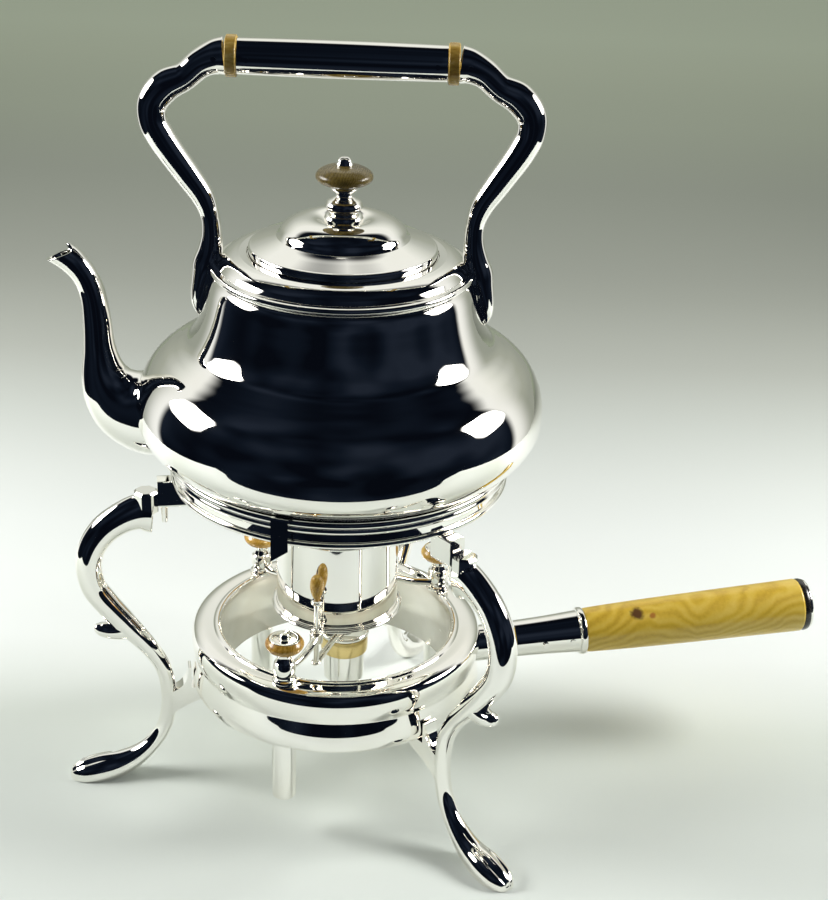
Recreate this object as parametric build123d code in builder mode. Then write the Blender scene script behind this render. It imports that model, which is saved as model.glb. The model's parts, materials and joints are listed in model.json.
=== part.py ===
"""Spirit kettle on its stand, with a ring-shaped spirit lamp, in millimetres.

+Z is up.  The spout points to -X and the lamp's handle to +X.  Everything is laid out round the
vertical axis of the kettle, and each finished piece is moved by KETTLE_AXIS as it is saved, so
that the origin is at the bottom centre of the whole object.
"""

import os
from math import cos, radians, sin

from build123d import *

os.makedirs("parts", exist_ok=True)

# ---------------------------------------------------------------- driving dimensions
KETTLE_AXIS = (-56.0, -11.6, 0.0)  # where the kettle's axis stands in the saved model
BODY_GAP = 0.3  # between faces of pieces that move apart
RUNNING_FIT = 0.05  # radial, a pin turning in its bore
SEATED_FIT = 0.02  # radial, a fixed pin or tenon

# stand
LEG_COUNT = 3
LEG_ANGLE = 190.6  # direction of the first leg, the others follow at equal steps
RING_BOTTOM = 163.3
RING_HEIGHT = 11.3
RING_BORE_R = 72.0
RING_BAND_R = 77.4
RING_BEAD = 1.5
RING_FOOT_BEAD = 1.3
LUG_ANGLE = 254.7
LUG_WIDTH = 8.0
LUG_THICKNESS = 2.4
LUG_RISE = 3.0  # of its head above the ring's seat
LUG_TAIL = 7.2  # of its pointed end below the ring
LUG_SHOULDER = 1.0  # of its other corner below the ring
CLOSE_FIT = 0.03  # round a piece soldered to its neighbour
BRACKET_R = 91.0  # radius of the circle on which the octagonal leg blocks stand
BLOCK_R = 5.9  # to the corners of an octagonal block
BLOCK_HEIGHT = 11.5
BLOCK_DROP = 5.5  # from the top of the arm to the top of the block
ARM_WIDTH = 8.6
ARM_HEIGHT = 13.3
TANG_LENGTH = 10.0
TANG_R = 2.0
REST_THICKNESS = 7.0
REST_HOOK_TOP = 61.0
REST_HOOK = 1.6

# kettle
SHEET = 1.5  # wall of the raised body
FLANGE = 1.2
BASE_DEPTH = 6.0
BELLY_R = 94.0
BELLY_Z = 199.5
SHOULDER_R = 81.2
SHOULDER_Z = 223.6
NECK_R = 63.1
NECK_Z = 246.5
BODY_RIM_R = 57.0
RIM_R = 58.6  # of the collar that closes the body's rim
RIM_Z = 263.6
COLLAR_HEIGHT = 9.0
COLLAR_BEAD = 1.6
MOUTH_R = 40.0
STRAINER_HOLE_R = 2.6
SPOUT_WALL = 1.3
GRIP_R = 8.1
GRIP_END_R = 7.8
GRIP_Z = 358.3
GRIP_HALF = 45.2
INSULATOR_R = 9.1
INSULATOR_WIDTH = 5.0
TENON_R = 5.6
TENON_LENGTH = 9.0
HANDLE_PIN_R = 1.1

# lid
LID_SHEET = 1.2
LID_RIM_R = 42.6
LID_RISE = 17.6
SKIRT_DEPTH = 5.0
HINGE_KNUCKLE_R = 1.5
HINGE_PIN_R = 0.7
HINGE_LENGTH = 15.0
FINIAL_DISC_R = 12.8
FINIAL_DISH = 2.4  # depth of the lid's dished top
FINIAL_ROD_R = 1.6

# lamp
TANK_TOP = 82.0
TANK_BOTTOM = 50.0
TANK_SHOULDER_R = 71.1
TANK_WIDTH = 14.9  # of the ring from its bore to its widest
TANK_WAIST = 1.7  # depth of the crease above the flared skirt
TANK_SKIRT = 16.6  # height of the skirt
TANK_WALL = 1.0
POST_INSET = 9.6  # of the posts from the tank's widest
POST_ANGLES = (250.0, 36.0, 132.0)
POST_R = 5.0
POST_STUD_R = 3.4  # where it passes through the lamp
POST_FOOT_R = 5.7
POST_FOOT_Z = 18.0
POST_TOP = 98.0
KNOB_R = 9.0
KNOB_HEIGHT = 6.8
KNOB_PLATE_R = 7.2
KNOB_SCREW_R = 2.0
BURNER_X = 4.0  # the wick stands this far from the axis, towards the handle
BURNER_R = 10.0
BURNER_COLLAR_R = 11.5
BURNER_TOP = 75.0
BURNER_BOTTOM = 51.0
BURNER_COLLAR_HEIGHT = 9.0
WICK_R = 8.0
FEED_R = 4.2
FEED_Z = 58.0
FEED_ANGLE = 92.0
CHIMNEY_R = 29.6
CHIMNEY_WALL = 0.8
CHIMNEY_TOP = 136.5
CHIMNEY_BOTTOM = 92.0
GALLERY_BEAD = 0.8
GALLERY_ARM_R = 1.9
SPINDLE_R = 1.3
SPINDLE_CIRCLE_R = 35.0
SPINDLE_ANGLE = 257.0
SPINDLE_EYE_R = 3.2
SPINDLE_EYE_HEIGHT = 5.0
SNUFFER_R = 12.2
SNUFFER_THICKNESS = 2.0
ACORN_R = 3.3
ACORN_HEIGHT = 13.2
ACORN_BOTTOM = 112.2

# lamp handle, measured along its own axis from the lamp's side
HANDLE_ANGLE = 11.0
HANDLE_TILT = 3.6
HANDLE_SINK = 5.1  # of the handle's foot inside the tank's widest
HANDLE_ROOT_Z = 62.7
FERRULE_LENGTH = 61.5
FERRULE_R = 9.0
FERRULE_MOUTH_R = 11.2
WOOD_LENGTH = 114.5
WOOD_END_R = 13.6
WOOD_TENON_R = 8.6
WOOD_TENON_LENGTH = 15.0
WASHER_THICKNESS = 3.0
CAP_HEIGHT = 4.6
TIE_ROD_R = 2.4

# ---------------------------------------------------------------- sizes that follow from these
RING_SEAT = RING_BOTTOM + RING_HEIGHT
KETTLE_SEAT = RING_SEAT + BODY_GAP
KETTLE_SEAM = KETTLE_SEAT + FLANGE
KETTLE_BOTTOM = KETTLE_SEAT - BASE_DEPTH
BASE_R = RING_BORE_R - 0.8
SEAM_R = RING_BAND_R - 0.6
COLLAR_TOP = RIM_Z + COLLAR_HEIGHT
LEDGE_Z = COLLAR_TOP - 1.6
LID_BOTTOM = LEDGE_Z + BODY_GAP
LID_TOP = LID_BOTTOM + LID_RISE
HINGE_Y = LID_RIM_R + 2.0
HINGE_Z = COLLAR_TOP + 0.2
FINIAL_Z = LID_TOP - FINIAL_DISH
ARM_TOP = RING_BOTTOM
TANK_BORE_R = TANK_SHOULDER_R - TANK_WIDTH
TANK_FLANGE_R = TANK_SHOULDER_R + 0.1
TANK_WAIST_R = TANK_SHOULDER_R - TANK_WAIST
TANK_WAIST_Z = TANK_BOTTOM + TANK_SKIRT
POST_CIRCLE_R = TANK_SHOULDER_R - POST_INSET
HANDLE_ROOT_R = TANK_SHOULDER_R - HANDLE_SINK
REST_LEDGE = TANK_BOTTOM - BODY_GAP
REST_HOOK_R = TANK_FLANGE_R + BODY_GAP + 0.3
KNOB_BOTTOM = POST_TOP + BODY_GAP
KNOB_TOP = KNOB_BOTTOM + KNOB_HEIGHT
SNUFFER_BOTTOM = BURNER_TOP + BODY_GAP
EYE_BOTTOM = CHIMNEY_BOTTOM - 2.6
WOOD_START = FERRULE_LENGTH
WOOD_END = WOOD_START + WOOD_LENGTH
CAP_START = WOOD_END + WASHER_THICKNESS
LEG_ANGLES = [LEG_ANGLE + 360.0 / LEG_COUNT * i for i in range(LEG_COUNT)]
LUG_ANGLES = [LUG_ANGLE + 360.0 / LEG_COUNT * i for i in range(LEG_COUNT)]


# ---------------------------------------------------------------- helpers
def save(solid, name):
    """Write one finished piece, moved from the kettle's axis to its place in the model."""
    placed = solid.moved(Location(KETTLE_AXIS))
    placed.label = name
    export_step(placed, f"parts/{name}.step")


def turned(solid, angle):
    """The same piece, turned about the vertical axis."""
    return solid.rotate(Axis.Z, angle)


def on_circle(radius, angle, z=0.0):
    """A point at a radius and an angle round the vertical axis."""
    return (radius * cos(radians(angle)), radius * sin(radians(angle)), z)


def bar_through(stations):
    """Loft a bar whose stations are (x, z, height across, width along Y), in the plane Y = 0."""
    last = len(stations) - 1
    with BuildPart() as bar:
        for i, (x, z, height, width) in enumerate(stations):
            x0, z0 = stations[max(i - 1, 0)][:2]
            x1, z1 = stations[min(i + 1, last)][:2]
            across = Plane(origin=(x, 0, z), x_dir=(0, 1, 0), z_dir=(x1 - x0, 0, z1 - z0))
            with BuildSketch(across):
                Ellipse(width / 2, height / 2)
        loft()
    return bar.part


# ---------------------------------------------------------------- stand
def ring_form(grow):
    """The stand's ring, with its skin moved out by grow."""
    with BuildPart() as form:
        with BuildSketch(Plane.XZ):
            with Locations((RING_BORE_R - grow, RING_BOTTOM - grow)):
                Rectangle(
                    RING_BAND_R - RING_BORE_R + 2 * grow,
                    RING_HEIGHT + 2 * grow,
                    align=(Align.MIN, Align.MIN),
                )
            with Locations(
                (RING_BAND_R + RING_BEAD, RING_SEAT + 0.3),
                (RING_BAND_R + RING_BEAD - 0.2, RING_SEAT - 2.6),
            ):
                Circle(RING_BEAD + grow)
            with Locations((RING_BAND_R + 0.7, RING_BOTTOM + RING_FOOT_BEAD)):
                Circle(RING_FOOT_BEAD + grow)
            with Locations((RING_BAND_R, RING_SEAT - 4.0)):
                Rectangle(RING_BEAD, 4.0, align=(Align.CENTER, Align.MIN))
        revolve(axis=Axis.Z)
    return form.part


upper_ring = ring_form(0)
save(upper_ring, "upper_ring")

with BuildPart() as ring_lug:
    with BuildSketch(Plane.YZ.offset(RING_BAND_R)):
        with BuildLine():
            Polyline(
                (-LUG_WIDTH / 2, RING_SEAT + LUG_RISE),
                (LUG_WIDTH / 2, RING_SEAT + LUG_RISE),
                (LUG_WIDTH / 2, RING_BOTTOM - LUG_SHOULDER),
                (-LUG_WIDTH / 2, RING_BOTTOM - LUG_TAIL),
                close=True,
            )
        make_face()
    extrude(amount=2 * RING_BEAD + LUG_THICKNESS)
    fillet(ring_lug.edges().filter_by(Axis.Y).group_by(Axis.X)[-1], LUG_THICKNESS / 3)
    add(ring_form(CLOSE_FIT), mode=Mode.SUBTRACT)
    with BuildSketch(Plane.XY.offset(RING_SEAT)):
        Circle(RING_BAND_R + 2 * RING_BEAD + 0.5)
    extrude(amount=2 * LUG_RISE, mode=Mode.SUBTRACT)
    with BuildSketch(Plane.XY.offset(RING_BOTTOM - 2 * LUG_TAIL)):
        Circle(RING_BAND_R + 1.0)
    extrude(amount=2 * LUG_TAIL + RING_HEIGHT, mode=Mode.SUBTRACT)
lug_piece = ring_lug.part.solids().sort_by(SortBy.VOLUME)[-1]
for number, angle in enumerate(LUG_ANGLES, 1):
    save(turned(lug_piece, angle), f"ring_lug_{number}")

with BuildPart() as leg_bracket:
    with BuildSketch(Plane.XY.offset(ARM_TOP - BLOCK_DROP - BLOCK_HEIGHT)):
        with Locations((BRACKET_R, 0)):
            RegularPolygon(BLOCK_R, 8, rotation=22.5)
    extrude(amount=BLOCK_HEIGHT)
    chamfer(leg_bracket.faces().filter_by(Axis.Z).edges(), 1.0)
    with BuildSketch(Plane.YZ.offset(RING_BORE_R + 0.6)):
        with Locations((0, ARM_TOP)):
            RectangleRounded(ARM_WIDTH, ARM_HEIGHT, 1.2, align=(Align.CENTER, Align.MAX))
    extrude(amount=BRACKET_R - BLOCK_R - RING_BORE_R)
    with BuildSketch(Plane.XY.offset(ARM_TOP - ARM_HEIGHT + 1.0)):
        with Locations((BRACKET_R - BLOCK_R - TANG_R - 0.4, 0)):
            Circle(TANG_R)
    extrude(amount=-TANG_LENGTH, taper=4)
for number, angle in enumerate(LEG_ANGLES, 1):
    save(turned(leg_bracket.part, angle), f"leg_bracket_{number}")

LEG_STATIONS = [
    (88.2, 146.0, 21.5, 11.0),
    (95.0, 146.4, 18.0, 11.8),
    (102.5, 143.8, 15.6, 12.2),
    (110.6, 138.2, 14.4, 12.6),
    (116.6, 129.6, 13.4, 13.0),
    (118.8, 119.5, 12.8, 13.0),
    (117.0, 108.0, 12.5, 12.5),
    (110.8, 97.5, 12.0, 12.0),
    (103.8, 88.0, 11.5, 11.0),
    (96.5, 78.8, 10.0, 10.0),
    (89.8, 69.5, 8.6, 9.0),
    (85.0, 59.5, 8.0, 8.5),
    (83.2, 48.0, 7.6, 8.0),
    (83.4, 36.5, 7.6, 8.0),
    (86.0, 26.0, 7.6, 8.2),
    (91.0, 18.0, 8.0, 9.0),
    (98.5, 11.0, 10.0, 11.0),
    (107.5, 6.0, 13.0, 13.5),
    (117.0, 3.6, 15.0, 16.0),
    (125.5, 1.6, 14.0, 14.5),
    (131.0, 0.4, 9.0, 9.0),
    (132.6, 0.2, 4.0, 4.0),
]
SPUR_STATIONS = [
    (100.5, 84.5, 13.0, 9.6),
    (106.5, 83.2, 10.2, 8.8),
    (111.5, 83.4, 8.2, 8.0),
    (115.2, 84.6, 6.4, 6.6),
    (117.4, 85.8, 2.6, 3.0),
]
FLOOR_CUT = 30.0  # deep enough to trim the underside of a foot
with BuildPart() as leg:
    add(bar_through(LEG_STATIONS))
    add(bar_through(SPUR_STATIONS))
    with Locations((LEG_STATIONS[-3][0], 0, 0)):
        under = (Align.CENTER, Align.CENTER, Align.MAX)
        Box(2 * FLOOR_CUT, FLOOR_CUT, FLOOR_CUT, align=under, mode=Mode.SUBTRACT)
    add(leg_bracket.part, mode=Mode.SUBTRACT)
leg_piece = leg.part.solids().sort_by(SortBy.VOLUME)[-1]
for number, angle in enumerate(LEG_ANGLES, 1):
    save(turned(leg_piece, angle), f"leg_{number}")

with BuildPart() as lamp_rest:
    with BuildSketch(Plane.XZ.offset(-REST_THICKNESS / 2)):
        with BuildLine():
            Line((TANK_FLANGE_R - 8.0, REST_LEDGE), (REST_HOOK_R, REST_LEDGE))
            Line((REST_HOOK_R, REST_LEDGE), (REST_HOOK_R, REST_HOOK_TOP - REST_HOOK / 2))
            ThreePointArc(
                (REST_HOOK_R, REST_HOOK_TOP - REST_HOOK / 2),
                (REST_HOOK_R + REST_HOOK / 2, REST_HOOK_TOP),
                (REST_HOOK_R + REST_HOOK, REST_HOOK_TOP - REST_HOOK / 2),
            )
            Spline(
                (REST_HOOK_R + REST_HOOK, REST_HOOK_TOP - REST_HOOK / 2),
                (REST_HOOK_R + REST_HOOK + 1.2, REST_LEDGE + 4.0),
                (LEG_STATIONS[12][0], REST_LEDGE - 2.5),
                tangents=((0, -1), (1, -0.3)),
            )
            Line((LEG_STATIONS[12][0], REST_LEDGE - 2.5), (LEG_STATIONS[12][0], 31.0))
            Spline(
                (LEG_STATIONS[12][0], 31.0),
                (TANK_FLANGE_R + 5.0, REST_LEDGE - 11.0),
                (TANK_FLANGE_R - 6.0, REST_LEDGE - 6.5),
                tangents=((-0.3, 1), (-1, 0.2)),
            )
            ThreePointArc(
                (TANK_FLANGE_R - 6.0, REST_LEDGE - 6.5),
                (TANK_FLANGE_R - 9.2, REST_LEDGE - 3.2),
                (TANK_FLANGE_R - 8.0, REST_LEDGE),
            )
        make_face()
    extrude(amount=REST_THICKNESS)
    add(leg_piece, mode=Mode.SUBTRACT)
rest_piece = lamp_rest.part.solids().sort_by(SortBy.VOLUME)[-1]
for number, angle in enumerate(LEG_ANGLES, 1):
    save(turned(rest_piece, angle), f"lamp_rest_{number}")

# ---------------------------------------------------------------- kettle
def body_form(grow):
    """The kettle's raised body as a solid, with its skin moved out by grow."""
    side = [
        (SEAM_R, KETTLE_SEAM),
        (BELLY_R - 11.0, BELLY_Z - 19.8),
        (BELLY_R - 5.5, BELLY_Z - 15.0),
        (BELLY_R - 0.8, BELLY_Z - 7.5),
        (BELLY_R, BELLY_Z),
        (BELLY_R - 0.5, BELLY_Z + 5.3),
        (BELLY_R - 2.8, BELLY_Z + 12.2),
        (BELLY_R - 6.9, BELLY_Z + 18.9),
        (SHOULDER_R, SHOULDER_Z),
        (SHOULDER_R - 5.8, SHOULDER_Z + 3.5),
        (NECK_R + 7.3, NECK_Z - 16.0),
        (NECK_R + 4.1, NECK_Z - 11.3),
        (NECK_R + 1.8, NECK_Z - 6.0),
        (NECK_R, NECK_Z),
        (NECK_R - 1.4, NECK_Z + 6.0),
        (NECK_R - 2.6, NECK_Z + 11.0),
        (NECK_R - 4.1, NECK_Z + 14.8),
        (BODY_RIM_R, RIM_Z),
    ]
    side = [(r + grow, z) for r, z in side]
    with BuildPart() as form:
        with BuildSketch(Plane.XZ):
            with BuildLine():
                Spline(*side)
                Polyline(side[-1], (0, RIM_Z), (0, KETTLE_SEAM), side[0])
            make_face()
        revolve(axis=Axis.Z)
    return form.part


body_solid = body_form(0)
body_clear = body_form(CLOSE_FIT)

SPOUT_STATIONS = [
    (-76.0, 193.0, 49.0, 38.0),
    (-90.0, 192.2, 45.0, 35.0),
    (-99.0, 194.8, 39.0, 30.0),
    (-105.9, 201.0, 30.0, 24.0),
    (-109.8, 209.5, 21.6, 19.5),
    (-111.4, 222.0, 15.0, 15.0),
    (-112.0, 236.0, 13.0, 13.0),
    (-113.4, 248.0, 11.8, 11.8),
    (-116.6, 256.6, 11.6, 11.2),
    (-121.8, 263.2, 12.0, 10.8),
    (-130.0, 268.6, 12.6, 10.4),
]
SPOUT_LIP = (-127.0, 268.4)
LIP_TILT = radians(24.0)  # of the open end's plane, dropping towards the tip
with BuildPart() as spout_form:
    add(bar_through(SPOUT_STATIONS))
with BuildPart() as spout_bore:
    add(bar_through([(x, z, h - 2 * SPOUT_WALL, w - 2 * SPOUT_WALL) for x, z, h, w in SPOUT_STATIONS]))

with BuildPart() as kettle_body:
    add(body_solid)
    rims = kettle_body.faces().filter_by(Axis.Z).sort_by(Axis.Z)
    offset(amount=-SHEET, openings=[rims[0], rims[-1]])
    with BuildSketch(Plane.YZ.offset(-BELLY_R + 14.0)):
        with Locations((0, SPOUT_STATIONS[0][1])):
            with HexLocations(STRAINER_HOLE_R * 1.7, 3, 3):
                Circle(STRAINER_HOLE_R)
    extrude(amount=-20.0, mode=Mode.SUBTRACT)
save(kettle_body.part, "kettle_body")

with BuildPart() as kettle_base:
    with BuildSketch(Plane.XZ):
        with BuildLine():
            Polyline(
                (0, KETTLE_BOTTOM),
                (BASE_R, KETTLE_BOTTOM),
                (BASE_R, KETTLE_SEAT),
                (SEAM_R - 0.5, KETTLE_SEAT),
                (SEAM_R - 0.5, KETTLE_SEAM),
                (BASE_R - SHEET, KETTLE_SEAM),
                (BASE_R - SHEET, KETTLE_BOTTOM + SHEET),
                (0, KETTLE_BOTTOM + SHEET),
                close=True,
            )
        make_face()
    revolve(axis=Axis.Z)
    fillet(kettle_base.edges().group_by(Axis.Z)[0], 1.2)
save(kettle_base.part, "kettle_base")

with BuildPart() as spout:
    add(spout_form.part)
    add(spout_bore.part, mode=Mode.SUBTRACT)
    add(body_clear, mode=Mode.SUBTRACT)
    with BuildSketch(Plane.XY.offset(RING_BOTTOM)):
        Circle(RING_BAND_R + 2 * RING_BEAD + BODY_GAP)
    extrude(amount=RING_HEIGHT + 2 * RING_BEAD, mode=Mode.SUBTRACT)
    lip = Plane(
        origin=(SPOUT_LIP[0], 0, SPOUT_LIP[1]), x_dir=(0, 1, 0), z_dir=(-sin(LIP_TILT), 0, cos(LIP_TILT))
    )
    with BuildSketch(lip):
        Circle(GRIP_HALF)
    extrude(amount=GRIP_HALF, mode=Mode.SUBTRACT)
spout_piece = spout.part.solids().sort_by(SortBy.VOLUME)[-1]
save(spout_piece, "spout")

def collar_form(grow):
    """The moulded collar, with the outer faces that the handle meets moved out by grow."""
    with BuildPart() as form:
        with BuildSketch(Plane.XZ):
            with BuildLine():
                Polyline(
                    (MOUTH_R + 6.0, COLLAR_TOP - 3.0),
                    (MOUTH_R, COLLAR_TOP - 3.0),
                    (MOUTH_R, LEDGE_Z),
                    (LID_RIM_R + 0.6, LEDGE_Z),
                    (LID_RIM_R + 0.6, COLLAR_TOP + grow),
                    (LID_RIM_R + 4.0, COLLAR_TOP + grow),
                )
                ThreePointArc(
                    (LID_RIM_R + 4.0, COLLAR_TOP + grow),
                    (RIM_R - 7.3, COLLAR_TOP + grow - 1.2),
                    (RIM_R - 3.6 + grow, COLLAR_TOP - 4.4),
                )
                Polyline(
                    (RIM_R - 3.6 + grow, COLLAR_TOP - 4.4),
                    (RIM_R - 2.6 + grow, RIM_Z + 3.0 + grow),
                    (RIM_R - 0.4 + grow, RIM_Z + 2.8 + grow),
                    (RIM_R - 0.4 + grow, RIM_Z),
                    (RIM_R - 5.0, RIM_Z),
                )
                ThreePointArc(
                    (RIM_R - 5.0, RIM_Z),
                    (RIM_R - 8.3, RIM_Z + 4.6),
                    (MOUTH_R + 6.0, COLLAR_TOP - 3.0),
                )
            make_face()
            with Locations((RIM_R - 0.4, RIM_Z + COLLAR_BEAD)):
                Circle(COLLAR_BEAD + grow)
        revolve(axis=Axis.Z)
    return form.part


with BuildPart() as collar:
    add(collar_form(0))
    with BuildSketch(Plane.YZ.offset(-HINGE_LENGTH / 2 - BODY_GAP)):
        with Locations((HINGE_Y, HINGE_Z)):
            Circle(HINGE_KNUCKLE_R + BODY_GAP)
    extrude(amount=HINGE_LENGTH + 2 * BODY_GAP, mode=Mode.SUBTRACT)
save(collar.part, "collar")

# the bail handle: two cast arms, two insulating rings and a tubular grip between them
ARM_START = GRIP_HALF + INSULATOR_WIDTH
ARM_STATIONS = [
    (ARM_START - 1.0, GRIP_Z, 16.6, 16.6),
    (54.4, GRIP_Z - 0.7, 15.2, 15.0),
    (61.0, GRIP_Z - 3.7, 13.0, 13.0),
    (68.2, GRIP_Z - 9.7, 12.4, 12.2),
    (76.5, GRIP_Z - 14.1, 14.2, 12.6),
    (82.0, GRIP_Z - 21.3, 13.6, 12.4),
    (82.2, GRIP_Z - 29.3, 12.8, 12.2),
    (78.8, GRIP_Z - 36.7, 12.6, 12.0),
    (75.2, GRIP_Z - 42.5, 12.2, 11.8),
    (67.7, 304.8, 11.4, 11.2),
    (62.0, 296.0, 10.2, 10.2),
    (59.2, 288.0, 8.6, 9.6),
    (58.6, 280.1, 8.8, 9.8),
    (59.4, 271.0, 11.4, 11.4),
    (61.6, 262.0, 12.6, 12.6),
]
LEAF_STATIONS = [
    (61.2, 267.0, 12.6, 12.6),
    (63.4, 259.0, 10.0, 11.6),
    (64.8, 252.0, 8.2, 10.0),
    (65.3, 246.5, 6.6, 8.0),
    (64.6, 242.0, 4.2, 5.2),
    (63.8, 239.4, 1.6, 2.0),
]
HANDLE_LEAN = -1.6  # of the bail towards the spout, from its feet up
LEAN_START = 268.0
LEAN_HEIGHT = 60.0


def leaning(stations, side):
    """Stations of one arm, on the side given by its sign, with the bail's lean."""
    placed = []
    for x, z, height, width in stations:
        share = min(max((z - LEAN_START) / LEAN_HEIGHT, 0), 1)
        placed.append((side * x + HANDLE_LEAN * share, z, height, width))
    return placed


def handle_arm(side):
    """One cast arm of the bail handle, bored for the insulator's tenon and its pin."""
    start = side * ARM_START + HANDLE_LEAN
    bore = start + side * TENON_LENGTH / 2
    with BuildPart() as arm:
        add(bar_through(leaning(ARM_STATIONS, side)))
        add(bar_through(leaning(LEAF_STATIONS, side)))
        add(body_clear, mode=Mode.SUBTRACT)
        add(collar_form(CLOSE_FIT), mode=Mode.SUBTRACT)
        with Locations((start, 0, GRIP_Z)):
            Box(2 * INSULATOR_WIDTH, 3 * GRIP_R, 3 * GRIP_R,
                align=(Align.MAX if side > 0 else Align.MIN, Align.CENTER, Align.CENTER), mode=Mode.SUBTRACT)
        with Locations(Location((bore, 0, GRIP_Z), (0, 90, 0))):
            Cylinder(TENON_R + SEATED_FIT, TENON_LENGTH + 2 * SEATED_FIT, mode=Mode.SUBTRACT)
        with Locations(Location((bore, 0, GRIP_Z), (90, 0, 0))):
            Cylinder(HANDLE_PIN_R + SEATED_FIT, 3 * GRIP_R, mode=Mode.SUBTRACT)
    return arm.part.solids().sort_by(SortBy.VOLUME)[-1]


save(handle_arm(1), "handle_arm_right")
save(handle_arm(-1), "handle_arm_left")

with BuildPart() as insulator:
    with BuildSketch(Plane.YZ.offset(GRIP_HALF)):
        with Locations((0, GRIP_Z)):
            Circle(INSULATOR_R)
    extrude(amount=INSULATOR_WIDTH)
    fillet(insulator.edges().filter_by(GeomType.CIRCLE), 0.8)
    with BuildSketch(Plane.YZ.offset(GRIP_HALF - TENON_LENGTH)):
        with Locations((0, GRIP_Z)):
            Circle(TENON_R)
    extrude(amount=2 * TENON_LENGTH + INSULATOR_WIDTH)
    for pin_x in (GRIP_HALF - TENON_LENGTH / 2, ARM_START + TENON_LENGTH / 2):
        with Locations(Location((pin_x, 0, GRIP_Z), (90, 0, 0))):
            Cylinder(HANDLE_PIN_R + SEATED_FIT, 3 * GRIP_R, mode=Mode.SUBTRACT)
lean = Location((HANDLE_LEAN, 0, 0))
save(insulator.part.moved(lean), "insulator_right")
save(turned(insulator.part, 180).moved(lean), "insulator_left")

with BuildPart() as grip:
    with BuildSketch(Plane.XZ):
        with BuildLine():
            ThreePointArc(
                (-GRIP_HALF, GRIP_Z + GRIP_END_R), (0, GRIP_Z + GRIP_R), (GRIP_HALF, GRIP_Z + GRIP_END_R)
            )
            Polyline(
                (GRIP_HALF, GRIP_Z + GRIP_END_R),
                (GRIP_HALF, GRIP_Z + TENON_R + SEATED_FIT),
                (-GRIP_HALF, GRIP_Z + TENON_R + SEATED_FIT),
                (-GRIP_HALF, GRIP_Z + GRIP_END_R),
            )
        make_face()
    revolve(axis=Axis((0, 0, GRIP_Z), (1, 0, 0)))
    for side in (-1, 1):
        with Locations(Location((side * (GRIP_HALF - TENON_LENGTH / 2), 0, GRIP_Z), (90, 0, 0))):
            Cylinder(HANDLE_PIN_R + SEATED_FIT, 3 * GRIP_R, mode=Mode.SUBTRACT)
save(grip.part.moved(lean), "grip")

with BuildPart() as handle_pins:
    for side in (-1, 1):
        with Locations(
            Location((side * (GRIP_HALF - TENON_LENGTH / 2), 0, GRIP_Z), (90, 0, 0)),
            Location((side * (ARM_START + TENON_LENGTH / 2), 0, GRIP_Z), (90, 0, 0)),
        ):
            Cylinder(HANDLE_PIN_R, 2 * GRIP_END_R + 0.8)
save(handle_pins.part.moved(lean), "handle_pins")

# ---------------------------------------------------------------- lid and its hinge
FINIAL_DISH_R = 9.4  # of the hollow in the lid's top in which the finial stands
FINIAL_DISH = 2.4


def lid_form(shrink):
    """The lid's two tiers and its dished top as a solid, with its skin moved in by shrink."""
    edge = LID_RIM_R - shrink
    low = LID_BOTTOM - shrink
    with BuildPart() as form:
        with BuildSketch(Plane.XZ):
            with BuildLine():
                Polyline((0, low + LID_RISE - FINIAL_DISH), (0, low), (edge, low), (edge, low + 3.4))
                ThreePointArc((edge, low + 3.4), (edge - 0.5, low + 4.5), (edge - 1.6, low + 4.9))
                Spline(
                    (edge - 1.6, low + 4.9),
                    (edge - 7.0, low + 6.8),
                    (edge - 12.6, low + 8.9),
                    tangents=((-1, 0.3), (-1, 0.7)),
                )
                Spline(
                    (edge - 12.6, low + 8.9),
                    (edge - 15.0, low + 12.6),
                    (edge - 19.6, low + 15.8),
                    (edge - 25.6, low + LID_RISE - 0.2),
                    (edge - 29.6, low + LID_RISE - 0.4),
                    tangents=((-0.2, 1), (-1, -0.25)),
                )
                Polyline(
                    (edge - 29.6, low + LID_RISE - 0.4),
                    (FINIAL_DISH_R - shrink, low + LID_RISE - FINIAL_DISH),
                    (0, low + LID_RISE - FINIAL_DISH),
                )
            make_face()
        revolve(axis=Axis.Z)
    return form.part


with BuildPart() as lid:
    add(lid_form(0))
    add(lid_form(LID_SHEET), mode=Mode.SUBTRACT)
    with BuildSketch(Plane.XY.offset(LID_BOTTOM - SKIRT_DEPTH)):
        Circle(MOUTH_R - 0.6)
        Circle(MOUTH_R - 0.6 - LID_SHEET, mode=Mode.SUBTRACT)
    extrude(amount=SKIRT_DEPTH + 5.6)
    with BuildSketch(Plane.XY.offset(LID_BOTTOM + 8.0)):
        Circle(FINIAL_ROD_R + SEATED_FIT)
    extrude(amount=LID_RISE, mode=Mode.SUBTRACT)
    for end, length in ((-HINGE_LENGTH / 2, 5.0), (HINGE_LENGTH / 2 - 5.0, 5.0)):
        with BuildSketch(Plane.YZ.offset(end - BODY_GAP)):
            with Locations((HINGE_Y, HINGE_Z)):
                Circle(HINGE_KNUCKLE_R + BODY_GAP)
        extrude(amount=length + 2 * BODY_GAP, mode=Mode.SUBTRACT)
save(lid.part, "lid")

with BuildPart() as lid_knuckle:
    with BuildSketch(Plane.YZ.offset(-HINGE_LENGTH / 6 + 0.15)):
        with Locations((HINGE_Y, HINGE_Z)):
            Circle(HINGE_KNUCKLE_R)
        with Locations((HINGE_Y, HINGE_Z + HINGE_KNUCKLE_R)):
            Rectangle(4.4, 1.0, align=(Align.MAX, Align.MAX))
        with Locations((HINGE_Y, HINGE_Z)):
            Circle(HINGE_PIN_R + RUNNING_FIT, mode=Mode.SUBTRACT)
    extrude(amount=HINGE_LENGTH / 3 - 0.3)
    add(lid.part, mode=Mode.SUBTRACT)
save(lid_knuckle.part.solids().sort_by(SortBy.VOLUME)[-1], "lid_knuckle")

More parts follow.
